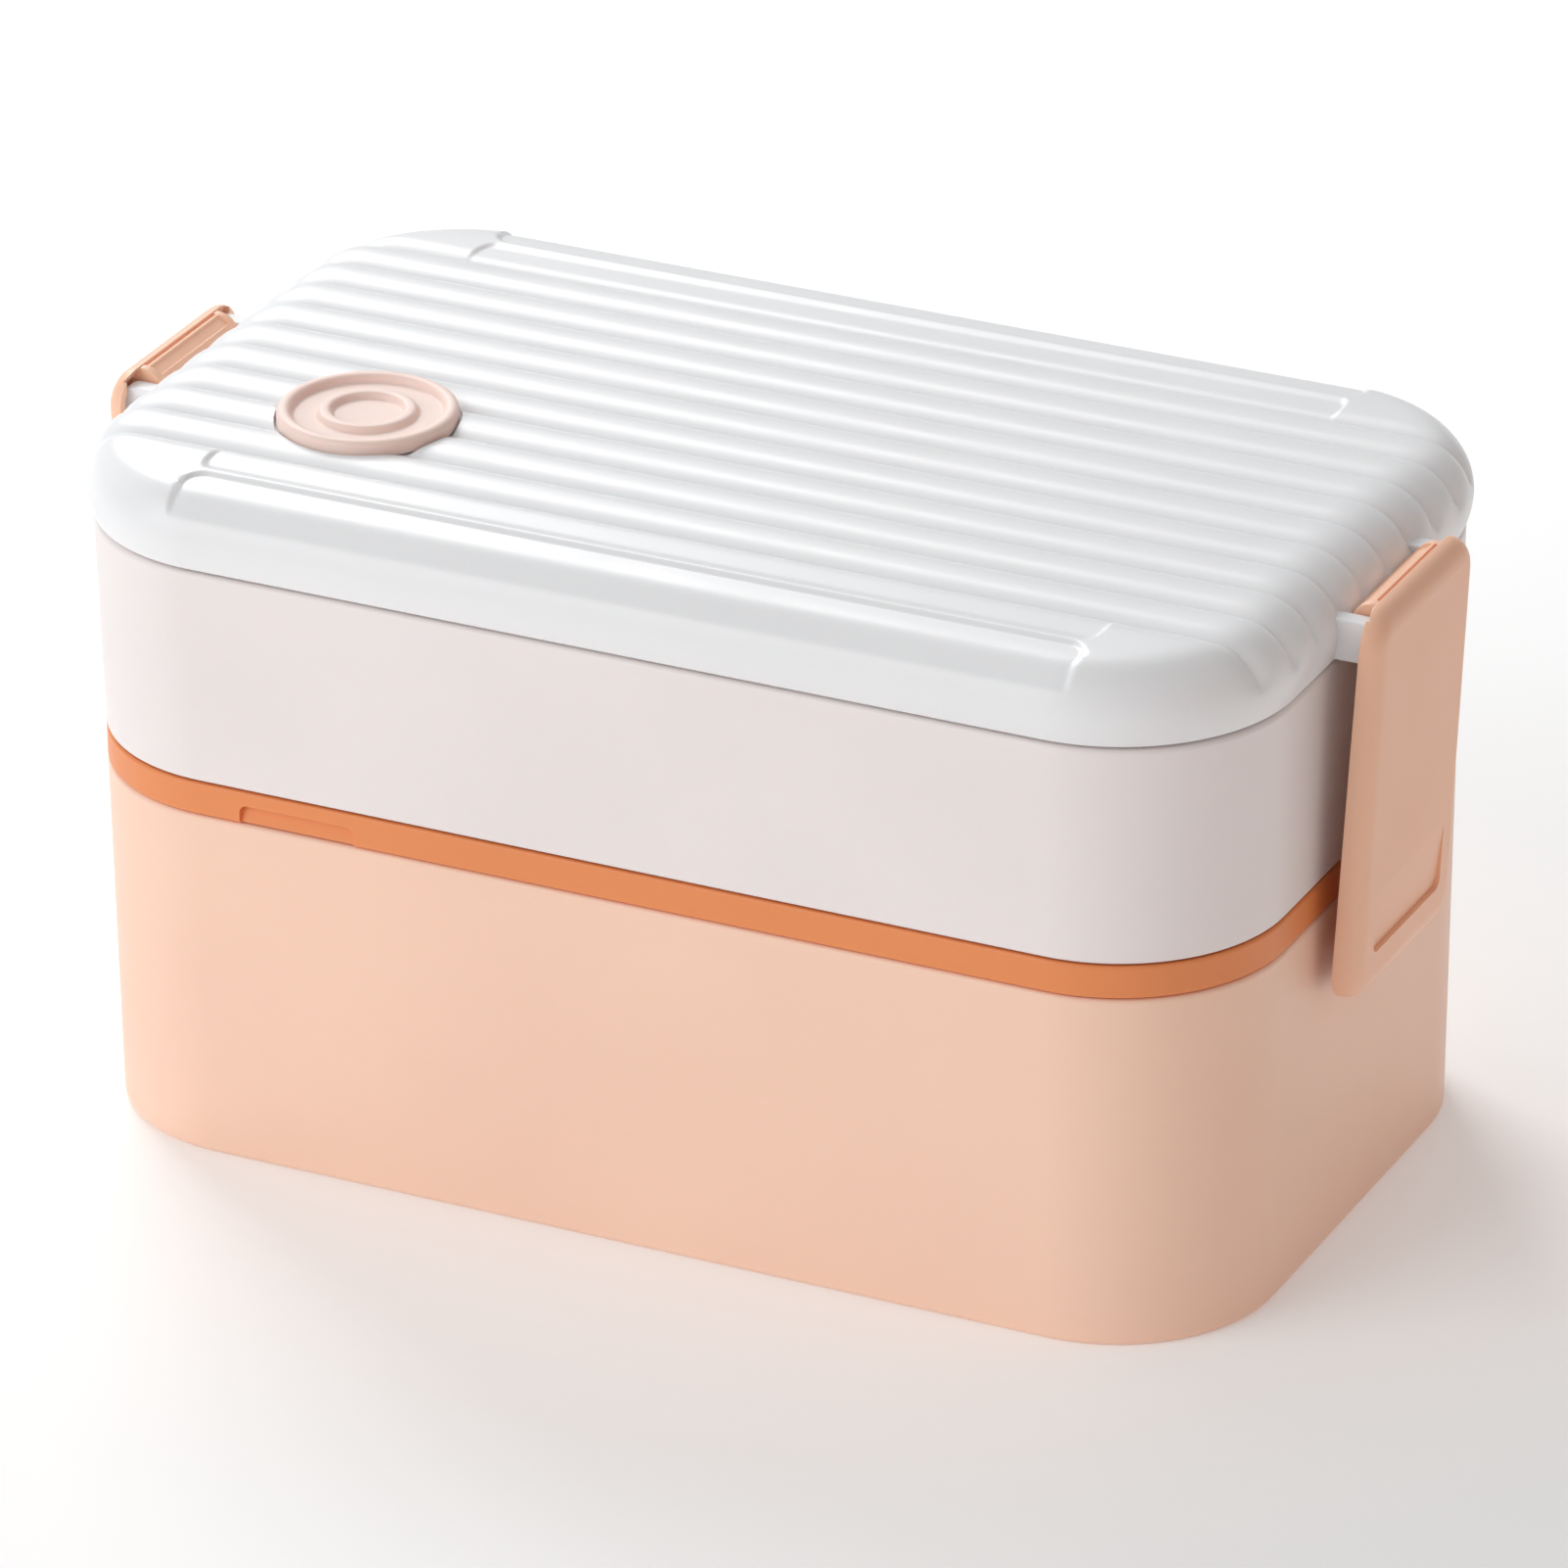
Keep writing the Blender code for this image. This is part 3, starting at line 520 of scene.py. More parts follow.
def moulded(name, shade, rough="plastic_roughness", glow=0.12, drift=0.03, coarse=1, deep=1):
    """Moulded plastic or silicone: fine mould grain, faint flow marks, a soft inner glow."""
    finish = bpy.context.scene.bento_finish
    base, roughness = getattr(finish, shade), getattr(finish, rough)
    grain_size, grain_depth = finish.grain_size * coarse, finish.grain_depth * deep
    material = bpy.data.materials.new(name)
    material.use_nodes = True
    tree = material.node_tree
    shader = tree.nodes["Principled BSDF"]
    place = add_node(tree, "ShaderNodeTexCoord").outputs["Object"]

    tint = spread(tree, noise(tree, place, TINT_SIZE, 3), 0, 1)
    dark = [c * (1 - drift) for c in base]
    pale = [min(c * (1 + drift), 1) for c in base]
    tree.links.new(blended(tree, dark, pale, tint), shader.inputs["Base Color"])

    patches = noise(tree, place, PATCH_SIZE, 4)
    patches = spread(tree, patches, roughness * 0.9, roughness * 1.1)
    tree.links.new(patches, shader.inputs["Roughness"])

    grain = bump(tree, noise(tree, place, grain_size, 3, 0.6), grain_depth)
    flow = bump(tree, noise(tree, place, FLOW_SIZE, 2), grain_depth * 3)
    tree.links.new(grain.outputs["Normal"], flow.inputs["Normal"])
    tree.links.new(flow.outputs["Normal"], shader.inputs["Normal"])
    set_inputs(
        shader,
        {
            "Subsurface Weight": glow,
            "Subsurface Radius": (1.0, 0.6, 0.45),
            "Subsurface Scale": 0.0015,
        },
    )
    return material


# ---- boxes


def shell(box, section, name):
    """A piece whose section is carried round the middle lid's outline."""
    bm = bmesh.new()
    carry_round(bm, (MID_HIGH.x, MID_HIGH.y, box.corner), section, box.corner_steps)
    return as_object(bm, name)


def heights(box):
    """The seams' heights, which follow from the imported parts."""
    mid_seam = LOWER_HIGH.z - box.lower_rim
    upper_foot = MID_HIGH.z + box.edge
    lid_ledge = UPPER_HIGH.z - box.upper_rim
    return mid_seam, upper_foot, lid_ledge


class BENTO_OT_lower_box(Operator):
    """Deep lower tier with a catch ridge on each end"""

    bl_idname = "bento.lower_box"
    bl_label = "Lower Box"

    def execute(self, context):
        box = context.scene.bento_box
        seam, _, _ = heights(box)
        inner = box.ledge + box.rim
        section = rounded(
            (
                (box.fillet * 2, LOWER_LOW.z, 0),
                (box.draft, LOWER_LOW.z, box.foot),
                (0, seam, box.rim_edge),
                (box.ledge, seam, box.edge / 2),
                (box.ledge, LOWER_HIGH.z, box.edge),
                (inner, LOWER_HIGH.z, box.edge),
                (inner + box.draft, LOWER_LOW.z + box.floor, box.fillet),
                (inner + box.fillet * 2, LOWER_LOW.z + box.floor, 0),
            ),
            steps=8,
        )
        obj = shell(box, section, "lower_box_shell")
        for side in (-1, 1):
            ridge = moved(self.ridge(context), half_turn(side))
            combine(obj, ridge, "UNION")
        finish = moulded("peach plastic", "peach")
        finish_piece(obj, finish, "lower_box", "lower_box")
        return {"FINISHED"}

    def ridge(self, context):
        """The catch ridge: flat underneath, ramped on top."""
        latch = context.scene.bento_latch
        wall, tip = MID_HIGH.x - latch.ridge_ramp, LOWER_HIGH.x
        low = latch.hook_top + latch.ridge_fit
        top = low + latch.ridge_thickness
        ramp = top + latch.ridge_ramp + latch.ridge_thickness
        half = latch.ridge_length / 2
        return prism(((wall, low), (tip, low), (tip, top), (wall, ramp)), -half, half, edge=FINE)


class BENTO_OT_mid_lid(Operator):
    """Middle lid, seen as an orange band between the tiers"""

    bl_idname = "bento.mid_lid"
    bl_label = "Middle Lid"

    def execute(self, context):
        box = context.scene.bento_box
        seam, _, _ = heights(box)
        top = MID_HIGH.z
        low = seam + box.edge
        panel = UPPER_LOW.z - box.edge
        under = panel - box.mid_panel
        inner = box.channel + box.plug_wall
        section = rounded(
            (
                (box.border * 3, panel, 0),
                (box.border + box.edge, panel, box.edge),
                (box.border, top, box.edge * 1.5),
                (0, top, box.edge * 1.5),
                (0, low, box.edge * 0.8),
                (box.skirt, low, box.edge * 0.8),
                (box.skirt, panel, box.edge),
                (box.channel, panel, box.edge),
                (box.channel, MID_LOW.z, box.edge),
                (inner, MID_LOW.z, box.edge),
                (inner, under, box.edge * 2),
                (box.border * 3, under, 0),
            )
        )
        obj = shell(box, section, "middle_lid")
        combine(obj, self.notch(box, seam), "DIFFERENCE")
        finish = moulded("orange plastic", "orange")
        finish_piece(obj, finish, "mid_lid", "mid_lid")
        return {"FINISHED"}

    def notch(self, box, seam):
        """The finger notch in the band, open downwards."""
        half = box.notch_length / 2
        middle = box.notch_from_end - MID_HIGH.x
        top = seam + box.edge + box.notch_height
        corners = (
            (middle, seam - OVERCUT, 0),
            (middle + half, seam - OVERCUT, 0),
            (middle + half, top, box.notch_corner),
            (middle - half, top, box.notch_corner),
            (middle - half, seam - OVERCUT, 0),
            (middle, seam - OVERCUT, 0),
        )
        bm = prism(rounded(corners)[:-1], -MID_HIGH.y - OVERCUT, -MID_HIGH.y + box.notch_depth)
        for vert in bm.verts:
            if vert.co.y > -MID_HIGH.y:
                vert.co.y -= box.notch_lean * (top - vert.co.z)
        return bm


class BENTO_OT_upper_box(Operator):
    """Shallow upper tier, with guides for the divider"""

    bl_idname = "bento.upper_box"
    bl_label = "Upper Box"

    def execute(self, context):
        box = context.scene.bento_box
        _, foot, ledge = heights(box)
        flare = MID_HIGH.x - UPPER_HIGH.x
        nest = box.border + 2 * box.edge
        floor = UPPER_LOW.z + box.floor
        inner = box.ledge + box.rim
        section = rounded(
            (
                (nest + box.fillet * 2, UPPER_LOW.z, 0),
                (nest, UPPER_LOW.z, box.edge),
                (nest, foot, box.edge),
                (0, foot, box.foot / 2),
                (flare, ledge, box.rim_edge),
                (flare + box.ledge, ledge, box.edge / 2),
                (flare + box.ledge, UPPER_HIGH.z, box.edge),
                (flare + inner, UPPER_HIGH.z, box.edge),
                (inner, floor, box.fillet),
                (inner + box.fillet * 2, floor, 0),
            ),
            steps=8,
        )
        obj = shell(box, section, "upper_box_shell")
        for guide in self.guides(box, floor):
            combine(obj, guide, "UNION")
        finish = moulded("white plastic", "box_white")
        finish_piece(obj, finish, "upper_box", "upper_box")
        return {"FINISHED"}

    def guides(self, box, floor):
        """Two small upright ribs on each long wall, either side of the divider."""
        wall = MID_HIGH.y - box.ledge - box.rim
        top = floor + box.guide_height
        left = DIVIDER_LOW.x - box.divider_fit
        right = DIVIDER_HIGH.x + box.divider_fit
        for side in (-1, 1):
            ends = sorted((side * (wall - box.guide_depth), side * (wall + box.rim / 2)))
            for low, high in ((left - box.guide_width, left), (right, right + box.guide_width)):
                corners = ((low, floor), (high, floor), (high, top), (low, top))
                yield prism(corners, *ends, edge=box.edge)


class BENTO_OT_divider(Operator):
    """Removable wall across the upper tier"""

    bl_idname = "bento.divider"
    bl_label = "Divider"

    def execute(self, context):
        box = context.scene.bento_box
        middle = (DIVIDER_LOW.x + DIVIDER_HIGH.x) / 2
        half = DIVIDER_HIGH.x - middle
        reach, top, low = DIVIDER_HIGH.y, DIVIDER_HIGH.z, DIVIDER_LOW.z
        corner = box.fillet + box.divider_fit
        line = rounded(
            (
                (0, low, 0),
                (reach - box.edge, low, corner),
                (reach, top, 2 * box.edge),
                (-reach, top, 2 * box.edge),
                (box.edge - reach, low, corner),
                (0, low, 0),
            ),
            steps=10,
        )[:-1]
        bm = prism(line, -half, half)
        bevel(bm, [e for e in bm.edges if level(e)], box.edge, 3)
        moved(bm, Matrix.Translation((middle, 0, 0)) @ Matrix.Rotation(math.pi / 2, 4, "Z"))
        obj = as_object(bm, "divider_wall")
        finish = moulded("divider white", "box_white")
        finish_piece(obj, finish, "divider", "divider")
        return {"FINISHED"}


class BENTO_OT_seals(Operator):
    """Silicone rings in the two lids"""

    bl_idname = "bento.seals"
    bl_label = "Seals"

    def execute(self, context):
        box = context.scene.bento_box
        soft = moulded("clear silicone", "silicone", "silicone_roughness", 0.3, coarse=2)
        rings = (
            ("mid_lid_seal", MID_SEAL_LOW, MID_SEAL_HIGH, "mid_lid"),
            ("lid_seal", LID_SEAL_LOW, LID_SEAL_HIGH, "lid"),
        )
        for node, low, high, body in rings:
            width = box.seal_width
            corner = box.corner - (MID_HIGH.x - high.x)
            edge = (high.z - low.z) * 0.3
            middle = width / 2
            section = rounded(
                (
                    (middle, low.z, 0),
                    (0, low.z, edge),
                    (0, high.z, edge),
                    (width, high.z, edge),
                    (width, low.z, edge),
                    (middle, low.z, 0),
                )
            )
            bm = bmesh.new()
            first, last = carry_round(bm, (high.x, high.y, corner), section, box.corner_steps)
            bmesh.ops.delete(bm, geom=[first, last], context="FACES_ONLY")
            bmesh.ops.remove_doubles(bm, verts=bm.verts, dist=EPSILON)
            finish_piece(as_object(bm, node + "_ring"), soft, body, node)
        return {"FINISHED"}


# ---- the ribbed lid


class LidSurface:
    """The lid's upper surface: crown, rounded shoulder, ribs, strips and facets."""

    # Ribs and facets fade out down the shoulder, where its sine falls from high to low.
    RIB_FADE, FACET_FADE = (0.02, 0.32), (0.36, 0.62)
    # Rows across one rib, as shares of half its pitch; rows and stations elsewhere.
    RIB_ROWS = (0, 0.15, 0.3, 0.45, 0.6, 0.74, 0.86, 0.94, 1.0)
    SHOULDER_ROWS, MIDDLE, PANEL_END, NEAR_END, CORNER = 44, 14, 12, 16, 38
    NEAR = 0.12  # stretch of the corner with closer stations

    def __init__(self, lid, box):
        self.lid = lid
        bulge_x = UPPER_HIGH.x + lid.bulge
        self.outline = (bulge_x, LID_HIGH.y, box.corner + bulge_x - MID_HIGH.x)
        self.low = LID_LOW.z + lid.bulge_height
        self.rise = LID_HIGH.z - self.low
        self.inner_x = self.outline[0] - self.outline[2]
        self.inner_y = self.outline[1] - self.outline[2]
        self.full = lid.rib_pitch * (int((MID_HIGH.y - lid.rib_margin) / lid.rib_pitch) - 0.5)
        self.strip = self.full + lid.rib_pitch

    def end_x(self, y):
        """Half the lid's length at this depth."""
        beyond = max(abs(y) - self.inner_y, 0)
        return self.inner_x + math.sqrt(max(self.outline[2] ** 2 - beyond**2, 0))

    def crown_z(self, y):
        radius = self.lid.crown
        return LID_HIGH.z - radius + math.sqrt(radius**2 - y**2)

    def rows(self):
        """Depths of the mesh's rows: dense at the grooves and down the shoulders."""
        pitch = self.lid.rib_pitch
        half = {0.0}
        count = round(self.strip / pitch - 0.5)
        for rib in range(count + 1):
            for part in self.RIB_ROWS:
                for sign in (-1, 1):
                    y = (rib + sign * part / 2) * pitch
                    if 0 <= y <= self.strip + EPSILON:
                        half.add(round(y, 7))
        steps, run = self.SHOULDER_ROWS, self.outline[1] - self.strip
        for step in range(1, steps + 1):
            half.add(round(self.strip + run * math.sin(math.pi / 2 * step / steps), 7))
        ordered = sorted(half)
        return [-y for y in reversed(ordered[1:])] + ordered

    def columns(self):
        """Stations along a row: up to 1 in the straight middle, beyond it round the corner."""
        fine = self.lid.end_wall / self.inner_x / 2
        near, corner = self.NEAR_END, self.CORNER
        half = [step / self.MIDDLE for step in range(self.MIDDLE)]
        half += [1 - fine * step for step in range(self.PANEL_END, -1, -1)]
        half += [1 + self.NEAR * step / near for step in range(1, near + 1)]
        rest = 1 - self.NEAR
        half += [2 - rest + rest * step / corner for step in range(1, corner + 1)]
        half = sorted({round(value, 6) for value in half})
        return [-value for value in reversed(half[1:])] + half

    def place(self, station, y):
        """The plan point of a station."""
        size = abs(station)
        if size <= 1:
            x = size * self.inner_x
        else:
            x = self.inner_x + (self.end_x(y) - self.inner_x) * math.sin(math.pi / 2 * (size - 1))
        return math.copysign(x, station) if station else 0.0

    def inside(self, end, side, corner):
        """1 inside a rounded panel and 0 outside, from the distances to its end and side."""
        if end < corner and side < corner:
            depth = corner - math.hypot(corner - end, corner - side)
        else:
            depth = min(end, side)
        return smooth(-self.lid.end_wall / 2, self.lid.end_wall / 2, depth)

    def recess(self, x, y, sine):
        """How far the surface lies inside the smooth shell."""
        lid = self.lid
        reach = abs(y)
        end = lid.strip_end - abs(x)
        if reach <= self.full:
            part = abs((reach / lid.rib_pitch + 0.5) % 1 * 2 - 1)
        else:
            part = max(1 - (reach - self.full) / lid.rib_pitch * 2, 0)
        groove = lid.rib_depth * part**lid.rib_power * smooth(*self.RIB_FADE, sine)
        if reach <= self.full:
            return groove
        strip = self.inside(end, (self.strip - lid.land - reach) / 2, lid.strip_corner)
        facet = self.inside(end, reach - self.strip - lid.land / 4, lid.facet_corner)
        strip *= lid.strip_depth
        facet *= lid.facet_depth * smooth(*self.FACET_FADE, sine)
        return (groove**3 + strip**3) ** (1 / 3) + facet

    def point(self, x, y):
        """The finished surface above a plan point."""
        half_x, half_y, radius = self.outline
        flat = Vector((x, y, 0))
        middle = Vector((held(x, self.inner_x), held(y, self.inner_y)))
        out = flat.xy - middle
        if abs(x) > self.inner_x and abs(y) > self.inner_y:
            inset = radius - out.length
        else:
            inset = min(half_x - abs(x), half_y - abs(y))
            out = Vector((x, 0)) if half_x - abs(x) < half_y - abs(y) else Vector((0, y))
        out = out.normalized() if out.length > EPSILON else Vector((0, 1))
        cosine = min(max(1 - inset / self.lid.shoulder, 0.0), 1.0)
        sine = math.sqrt(1 - cosine**2)
        shell = self.low + self.rise * sine
        crown = self.crown_z(y)
        soft = self.lid.blend
        weight = 1 / (1 + math.exp(held((shell - crown) / soft, 60)))
        z = min(shell, crown) - soft * math.log1p(math.exp(-abs(shell - crown) / soft))
        side = Vector((*(out * self.rise * cosine), self.lid.shoulder * sine)).normalized()
        top = Vector((0, y / self.lid.crown, 1))
        normal = (side * weight + top * (1 - weight)).normalized()
        return Vector((x, y, z)) - normal * self.recess(x, y, sine)


class BENTO_OT_lid(Operator):
    """Ribbed top lid with its hinge lugs and the vent's pocket"""

    bl_idname = "bento.lid"
    bl_label = "Lid"

    def execute(self, context):
        box, lid = context.scene.bento_box, context.scene.bento_lid
        surface = LidSurface(lid, box)
        bm = self.top(surface)
        self.underside(bm, surface, box, lid)
        obj = as_object(bm, "ribbed_lid")
        for side in (-1, 1):
            for along in (-1, 1):
                combine(obj, self.lug(lid, surface, side, along), "UNION")
            hole = rod(lid.lug_hole, lid.lug_near + lid.lug_thickness - lid.lug_skin, 0)
            moved(hole, Matrix.Translation((side * HINGE.x, 0, HINGE.z)))
            combine(obj, hole, "DIFFERENCE")
        combine(obj, self.pocket(lid), "DIFFERENCE")
        combine(obj, self.scoop(lid), "DIFFERENCE")
        gloss = moulded("lid white plastic", "lid_white", "lid_roughness", drift=0.015, deep=0.5)
        finish_piece(obj, gloss, "lid", "lid", sharp=38)
        return {"FINISHED"}

    def top(self, surface):
        """The upper surface, as a grid drawn out over the lid."""
        rows, columns = surface.rows(), surface.columns()
        bm = bmesh.new()
        bmesh.ops.create_grid(bm, x_segments=len(columns) - 1, y_segments=len(rows) - 1, size=1)
        for vert in bm.verts:
            column = round((vert.co.x + 1) / 2 * (len(columns) - 1))
            row = round((vert.co.y + 1) / 2 * (len(rows) - 1))
            y = rows[row]
            vert.co = surface.point(surface.place(columns[column], y), y)
        bmesh.ops.remove_doubles(bm, verts=bm.verts, dist=EPSILON)
        return bm

    def underside(self, bm, surface, box, lid):
        """The skirt, the seal's channel, the plug wall and the panel."""
        bulge_run = [
            (lid.bulge * (step / 8) ** 2, surface.low - lid.bulge_height * step / 8)
            for step in range(1, 8)
        ]
        edge = lid.bulge
        seat = LID_HIGH.z - lid.channel_drop
        foot = seat - lid.plug_drop
        panel = LID_HIGH.z - lid.panel
        inner = edge + box.channel + box.plug_wall
        corners = (
            (*bulge_run[-1], 0),
            (edge, LID_LOW.z, box.edge),
            (edge + box.skirt, LID_LOW.z, box.edge),
            (edge + box.skirt, seat, box.edge),
            (edge + box.channel, seat, box.edge),
            (edge + box.channel, foot, box.edge),
            (inner, foot, box.edge),
            (inner, panel, box.edge * 3),
            (inner + box.border, panel, 0),
        )
        rim = [e for e in bm.edges if e.is_boundary]
        for inset, z in bulge_run + rounded(corners)[1:]:
            grown = bmesh.ops.extrude_edge_only(bm, edges=rim)["geom"]
            rim = [item for item in grown if isinstance(item, bmesh.types.BMEdge)]
            for vert in {vert for e in rim for vert in e.verts}:
                vert.co = (*on_outline(vert.co, surface.outline, inset), z)
        bmesh.ops.contextual_create(bm, geom=rim)

    def lug(self, lid, surface, side, along):
        """One hinge lug, from inside the lid's wall to round the trunnion."""
        boss = lid.lug_boss
        root = surface.outline[0] - lid.lug_root
        below = HINGE.z - lid.lug_below
        line = rounded(
            (
                (root, below, 0),
                (HINGE.x - boss * 0.4, below, 0.0006),
                (HINGE.x + boss, HINGE.z - boss * 1.2, boss * 0.8),
                (HINGE.x + boss, HINGE.z + boss, boss * 0.95),
                (root, HINGE.z + boss, 0),
            ),
            steps=6,
        )
        if side < 0:
            line = [Vector((-x, z)) for x, z in line]
        ends = sorted((along * lid.lug_near, along * (lid.lug_near + lid.lug_thickness)))
        bm = prism(line, *ends)
        free = [e for e in bm.edges if max(abs(v.co.x) for v in e.verts) > root + EPSILON]
        bevel(bm, [e for e in free if level(e)], lid.lug_edge, 3)
        return bm

    def pocket(self, lid):
        """The round pocket and the steam hole in its floor."""
        radius = VENT_RADIUS + lid.pocket_fit
        floor = LID_HIGH.z - lid.pocket_depth
        line = rounded(
            (
                (0, LID_HIGH.z + OVERCUT, 0),
                (radius, LID_HIGH.z + OVERCUT, 0),
                (radius, floor, 0.0004),
                (lid.stem_hole, floor, FINE),
                (lid.stem_hole, LID_LOW.z, 0),
                (0, LID_LOW.z, 0),
            )
        )
        return moved(turned(line), VENT_PLACE)

    def scoop(self, lid):
        """A shallow finger scoop at the pocket's left side."""
        bm = bmesh.new()
        bmesh.ops.create_uvsphere(bm, u_segments=48, v_segments=24, radius=lid.scoop)
        left = VENT.x - VENT_RADIUS - lid.pocket_fit - lid.scoop_width + lid.scoop
        place = Matrix.Translation((left, VENT.y, LID_HIGH.z - lid.scoop_sunk))
        return moved(bm, place @ Matrix.Diagonal((1, 1, lid.scoop_flatness, 1)))


class BENTO_OT_vent_plug(Operator):
    """Soft steam plug with two raised rings and a stem"""

    bl_idname = "bento.vent_plug"
    bl_label = "Vent Plug"

    def execute(self, context):
        plug = context.scene.bento_plug
        radius, top = VENT_RADIUS, PLUG_HIGH.z
        dish, crest = top - plug.dish, top - plug.dish * 0.2
        seat = top - plug.seat
        ring = radius - plug.ring
        line = rounded(
            (
                (0, dish, 0),
                (plug.inner_radius - plug.inner_ring, dish, 0.0004),
                (plug.inner_radius - plug.inner_ring * 0.78, crest, 0.0007),
                (plug.inner_radius - plug.inner_ring * 0.22, crest, 0.0007),
                (plug.inner_radius, dish, 0.0004),
                (ring, dish, 0.0005),
                (ring + plug.ring * 0.2, top, 0.0009),
                (radius, top, 0.0012),
                (radius, seat, FINE),
                (plug.stem, seat, FINE),
                (plug.stem, PLUG_LOW.z, 0.0005),
                (0, PLUG_LOW.z, 0),
            ),
            steps=6,
        )
        bm = moved(turned(line), VENT_PLACE)
        soft = moulded("pink silicone", "pink", "silicone_roughness", 0.4)
        obj = as_object(bm, "steam_plug")
        finish_piece(obj, soft, "vent_plug", "vent_plug", sharp=50)
        return {"FINISHED"}


# ---- latches


class BENTO_OT_latches(Operator):
    """The two snap latches on the lid's ends"""

    bl_idname = "bento.latches"
    bl_label = "Latches"

    def execute(self, context):
        for name, side in (("left_latch", -1), ("right_latch", 1)):
            obj = self.latch(context.scene.bento_latch, context.scene.bento_lid, name, side)
            peach = moulded(name.replace("_", " ") + " plastic", "latch_peach")
            finish_piece(obj, peach, name, name)
        return {"FINISHED"}

    def latch(self, sizes, lid, name, side):
        """A hollow plate with a barrel, trunnions, a hook and a thumb recess."""
        obj = as_object(self.plate(sizes), name + "_plate")
        for along in (-1, 1):
            combine(obj, self.relief(sizes, lid, along), "DIFFERENCE")
        combine(obj, rod(sizes.barrel - sizes.barrel_inset, sizes.barrel_length / 2, FINE), "UNION")
        combine(obj, self.groove(sizes), "DIFFERENCE")
        combine(obj, self.valley(sizes), "DIFFERENCE")
        combine(obj, rod(sizes.trunnion, sizes.trunnion_reach, 0.0002, 32), "UNION")
        combine(obj, self.hook(sizes), "UNION")
        combine(obj, self.thumb_recess(sizes), "DIFFERENCE")
        obj.data.transform(Matrix.Translation((side * HINGE.x, 0, HINGE.z)) @ half_turn(side))
        return obj

    def drop(self):
        return HINGE.z - LATCH_LOW.z

    def face(self, sizes, up, depth=0.0):
        """The outer face, or a plane this deep under it, at a height from the axis."""
        return sizes.barrel - depth + sizes.lean * min(up, 0) / self.drop()

    def plate(self, sizes):
        """A tray with a softly rounded face, leaning in towards its foot."""
        half_y = LATCH_HIGH.y
        low, high = -self.drop(), LATCH_HIGH.z - HINGE.z
        outline = ((high - low) / 2, half_y, sizes.corner)
        steps = 10
        section = []
        for step in range(steps + 1):
            turn = math.pi / 2 * step / steps
            inset = sizes.round * (1 - math.sin(turn))
            section.append((inset, sizes.depth_top * 0.92 * (1 - math.cos(turn))))
        section += rounded(
            (
                (0, section[-1][1], 0),
                (0, sizes.depth_top, FINE),
                (sizes.rim, sizes.depth_top, FINE),
                (sizes.rim, sizes.face, 0.0005),
                (sizes.rim + 0.001, sizes.face, 0),
            )
        )[1:]
        bm = bmesh.new()
        carry_round(bm, outline, section, 20)
        middle = (high + low) / 2
        for vert in bm.verts:
            up, along, depth = middle + vert.co.x, vert.co.y, vert.co.z
            deeper = (sizes.depth_low - sizes.depth_top) * max(-up, 0) / self.drop()
            depth += deeper * max(depth - sizes.face, 0) / (sizes.depth_top - sizes.face)
            vert.co = (self.face(sizes, up, depth), along, up)
        return bm

    def relief(self, sizes, lid, along):
        """Clears a lug's flat top while the latch opens."""
        high = 2 * sizes.barrel
        foot = (lid.lug_boss + sizes.relief_above) / math.sin(sizes.opening)
        head = foot - high / math.tan(sizes.opening)
        low = lid.lug_near - sizes.relief_beside
        top = lid.lug_near + lid.lug_thickness + sizes.relief_beside
        points = ((-OVERCUT, 0), (foot, 0), (head, high), (-OVERCUT, high))
        return prism(points, *sorted((along * low, along * top)))

    def groove(self, sizes):
        """The groove along the barrel's upper inner side."""
        half = sizes.groove_width / 2
        floor = sizes.barrel - sizes.groove_depth
        points = ((floor, -half), (OVERCUT / 4, -half), (OVERCUT / 4, half), (floor, half))
        reach = sizes.groove_length / 2
        return moved(
            prism(points, -reach, reach, edge=FINE), Matrix.Rotation(-sizes.groove_turn, 4, "Y")
        )

    def valley(self, sizes):
        """A narrow valley between the plate's top rim and the barrel."""
        edge = sizes.barrel - sizes.depth_top
        floor = sizes.barrel - sizes.valley
        inner, top = edge - sizes.valley, OVERCUT / 4
        points = ((edge, floor), (edge, top), (inner, top), (inner, floor))
        reach = sizes.groove_length / 2
        return prism(points, -reach, reach, edge=0.00015)

    def hook(self, sizes):
        """The hook: flat on top, sloped below."""
        tip = LATCH_LOW.x - HINGE.x
        top = sizes.hook_top - HINGE.z
        low = top - sizes.hook_height
        back = self.face(sizes, low, sizes.face / 2)
        points = (
            (back, top),
            (tip, top),
            (tip, top - sizes.hook_flat),
            (tip + 2.3 * sizes.hook_flat, low),
            (back, low),
        )
        half = sizes.hook_length / 2
        return prism(points, -half, half, edge=0.00025)

    def thumb_recess(self, sizes):
        """The thumb recess: deepest at its lower wall, fading out upwards."""
        low = sizes.thumb_low - self.drop()
        high = low + sizes.thumb_height
        points = (
            (self.face(sizes, low, sizes.thumb_depth), low),
            (OVERCUT, low),
            (OVERCUT, high),
            (self.face(sizes, high), high),
        )
        half = sizes.thumb_width / 2
        bm = prism(points, -half, half)
        foot = [e for e in bm.edges if max(abs(v.co.z - low) for v in e.verts) < EPSILON]
        bevel(bm, [e for e in foot if level(e)], sizes.rim, 8)
        return bm


# ---- stage


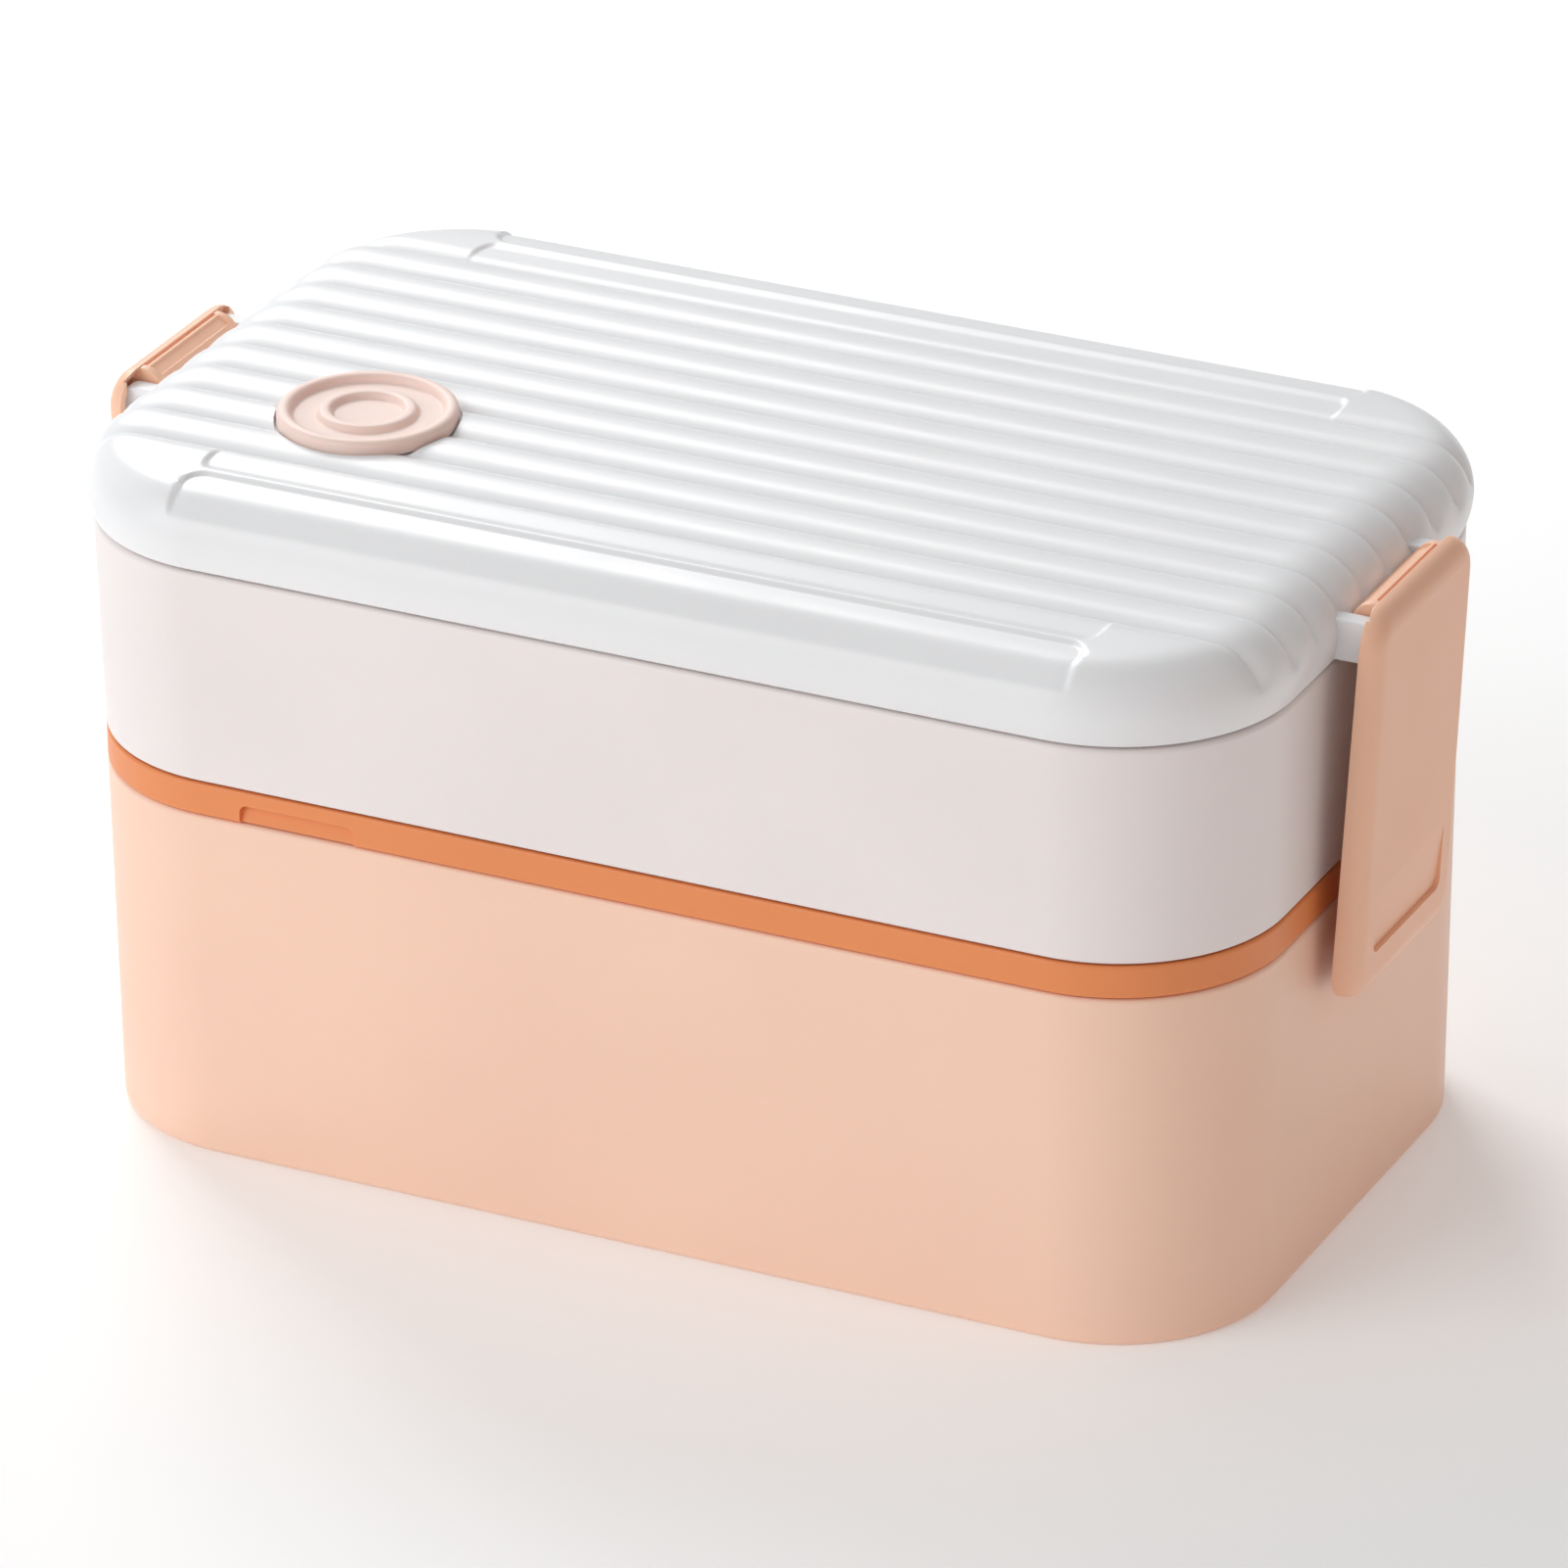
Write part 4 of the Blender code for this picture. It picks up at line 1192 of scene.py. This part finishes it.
class BENTO_OT_stage(Operator):
    """Pale floor, soft studio light and the camera"""

    bl_idname = "bento.stage"
    bl_label = "Stage"

    # Side of the light, and where it stands.
    KEY = 0.7, (-0.85, 0.8, 0.95)
    FILL = 1.6, (-1.25, -1.7, 1.0)
    WARM_CARD = 1.2, (2.0, -0.5, 0.5)
    # The sky turns warm from the middle to this far right, and less so higher up.
    SKY_RIGHT, SKY_LEAN = 0.75, -1.0

    def execute(self, context):
        stage = context.scene.bento_stage
        self.camera(context, stage)
        self.floor(stage)
        self.sky(context, stage)
        self.light("key softbox", stage.key_power, *self.KEY)
        self.light("front fill", stage.fill_power, *self.FILL)
        self.light("warm card", stage.warm_power, *self.WARM_CARD, stage.warm)
        context.scene.view_settings.view_transform = "Standard"
        return {"FINISHED"}

    def camera(self, context, stage):
        turn, rise, roll = stage.turn, stage.rise, stage.roll
        back = Vector(
            (math.sin(turn) * math.cos(rise), -math.cos(turn) * math.cos(rise), math.sin(rise))
        )
        right = Vector((math.cos(turn), math.sin(turn), 0))
        up = back.cross(right)
        across = right * math.cos(roll) + up * math.sin(roll)
        above = up * math.cos(roll) - right * math.sin(roll)
        aim = Vector((stage.aim_side, 0, stage.aim_height))
        data = bpy.data.cameras.new("camera")
        data.lens = stage.lens
        data.sensor_width = 36
        data.clip_end = 20
        camera = bpy.data.objects.new("camera", data)
        context.scene.collection.objects.link(camera)
        turned_to = Matrix((across, above, back)).transposed().to_4x4()
        camera.matrix_world = Matrix.Translation(aim + back * stage.distance) @ turned_to
        context.scene.camera = camera

    def floor(self, stage):
        bm = bmesh.new()
        bmesh.ops.create_grid(bm, x_segments=1, y_segments=1, size=stage.floor_size / 2)
        floor = as_object(bm, "floor")
        material = bpy.data.materials.new("pale floor")
        material.use_nodes = True
        shader = material.node_tree.nodes["Principled BSDF"]
        values = {
            "Base Color": (*[stage.floor_grey] * 3, 1),
            "Roughness": 0.9,
            "Emission Color": (1, 1, 1, 1),
            "Emission Strength": stage.floor_glow,
        }
        set_inputs(shader, values)
        floor.data.materials.append(material)

    def sky(self, context, stage):
        world = bpy.data.worlds.new("studio")
        world.use_nodes = True
        tree = world.node_tree
        background = tree.nodes["Background"]
        background.inputs["Strength"].default_value = stage.sky
        across = add_node(tree, "ShaderNodeSeparateXYZ")
        tree.links.new(add_node(tree, "ShaderNodeTexCoord").outputs["Generated"], across.inputs[0])
        values = {"From Min": 0, "From Max": self.SKY_RIGHT}
        right = add_node(tree, "ShaderNodeMapRange", values, interpolation_type="SMOOTHSTEP")
        low = add_node(tree, "ShaderNodeMath", {1: self.SKY_LEAN}, operation="MULTIPLY_ADD")
        tree.links.new(across.outputs["Z"], low.inputs[0])
        tree.links.new(across.outputs["X"], low.inputs[2])
        tree.links.new(low.outputs[0], right.inputs["Value"])
        colours = blended(tree, stage.sky_left, stage.sky_right, right.outputs["Result"])
        tree.links.new(colours, background.inputs["Color"])
        context.scene.world = world

    def light(self, name, power, size, place, tint=(1, 1, 1)):
        data = bpy.data.lights.new(name, "AREA")
        data.energy = power
        data.color = tint
        data.size = size
        lamp = bpy.data.objects.new(name, data)
        bpy.context.scene.collection.objects.link(lamp)
        lamp.location = place
        lamp.rotation_euler = Vector(place).to_track_quat("Z", "Y").to_euler()


# ---- add-on ------------------------------------------------------------------------------

GROUPS = {
    "bento_box": BoxSettings,
    "bento_lid": LidSettings,
    "bento_plug": PlugSettings,
    "bento_latch": LatchSettings,
    "bento_finish": FinishSettings,
    "bento_stage": StageSettings,
}
OPERATORS = (
    BENTO_OT_lower_box,
    BENTO_OT_mid_lid,
    BENTO_OT_upper_box,
    BENTO_OT_divider,
    BENTO_OT_seals,
    BENTO_OT_lid,
    BENTO_OT_vent_plug,
    BENTO_OT_latches,
    BENTO_OT_stage,
)


class BENTO_PT_panel(Panel):
    """Lists the lunch box's pieces"""

    bl_idname = "BENTO_PT_panel"
    bl_label = "Bento Lunch Box"
    bl_space_type = "VIEW_3D"
    bl_region_type = "UI"
    bl_category = "Lunch Box"

    def draw(self, context):
        for operator in OPERATORS:
            self.layout.operator(operator.bl_idname)
        for name in GROUPS:
            box = self.layout.box()
            settings = getattr(context.scene, name)
            for key in settings.bl_rna.properties.keys():
                if key not in ("rna_type", "name"):
                    box.prop(settings, key)


def register():
    for name, group in GROUPS.items():
        bpy.utils.register_class(group)
        setattr(bpy.types.Scene, name, PointerProperty(type=group))
    for item in (*OPERATORS, BENTO_PT_panel):
        bpy.utils.register_class(item)


def unregister():
    for item in (BENTO_PT_panel, *reversed(OPERATORS)):
        bpy.utils.unregister_class(item)
    for name, group in GROUPS.items():
        delattr(bpy.types.Scene, name)
        bpy.utils.unregister_class(group)


def main():
    register()
    for operator in OPERATORS:
        _, name = operator.bl_idname.split(".")
        getattr(bpy.ops.bento, name)()


if __name__ == "__main__":
    main()
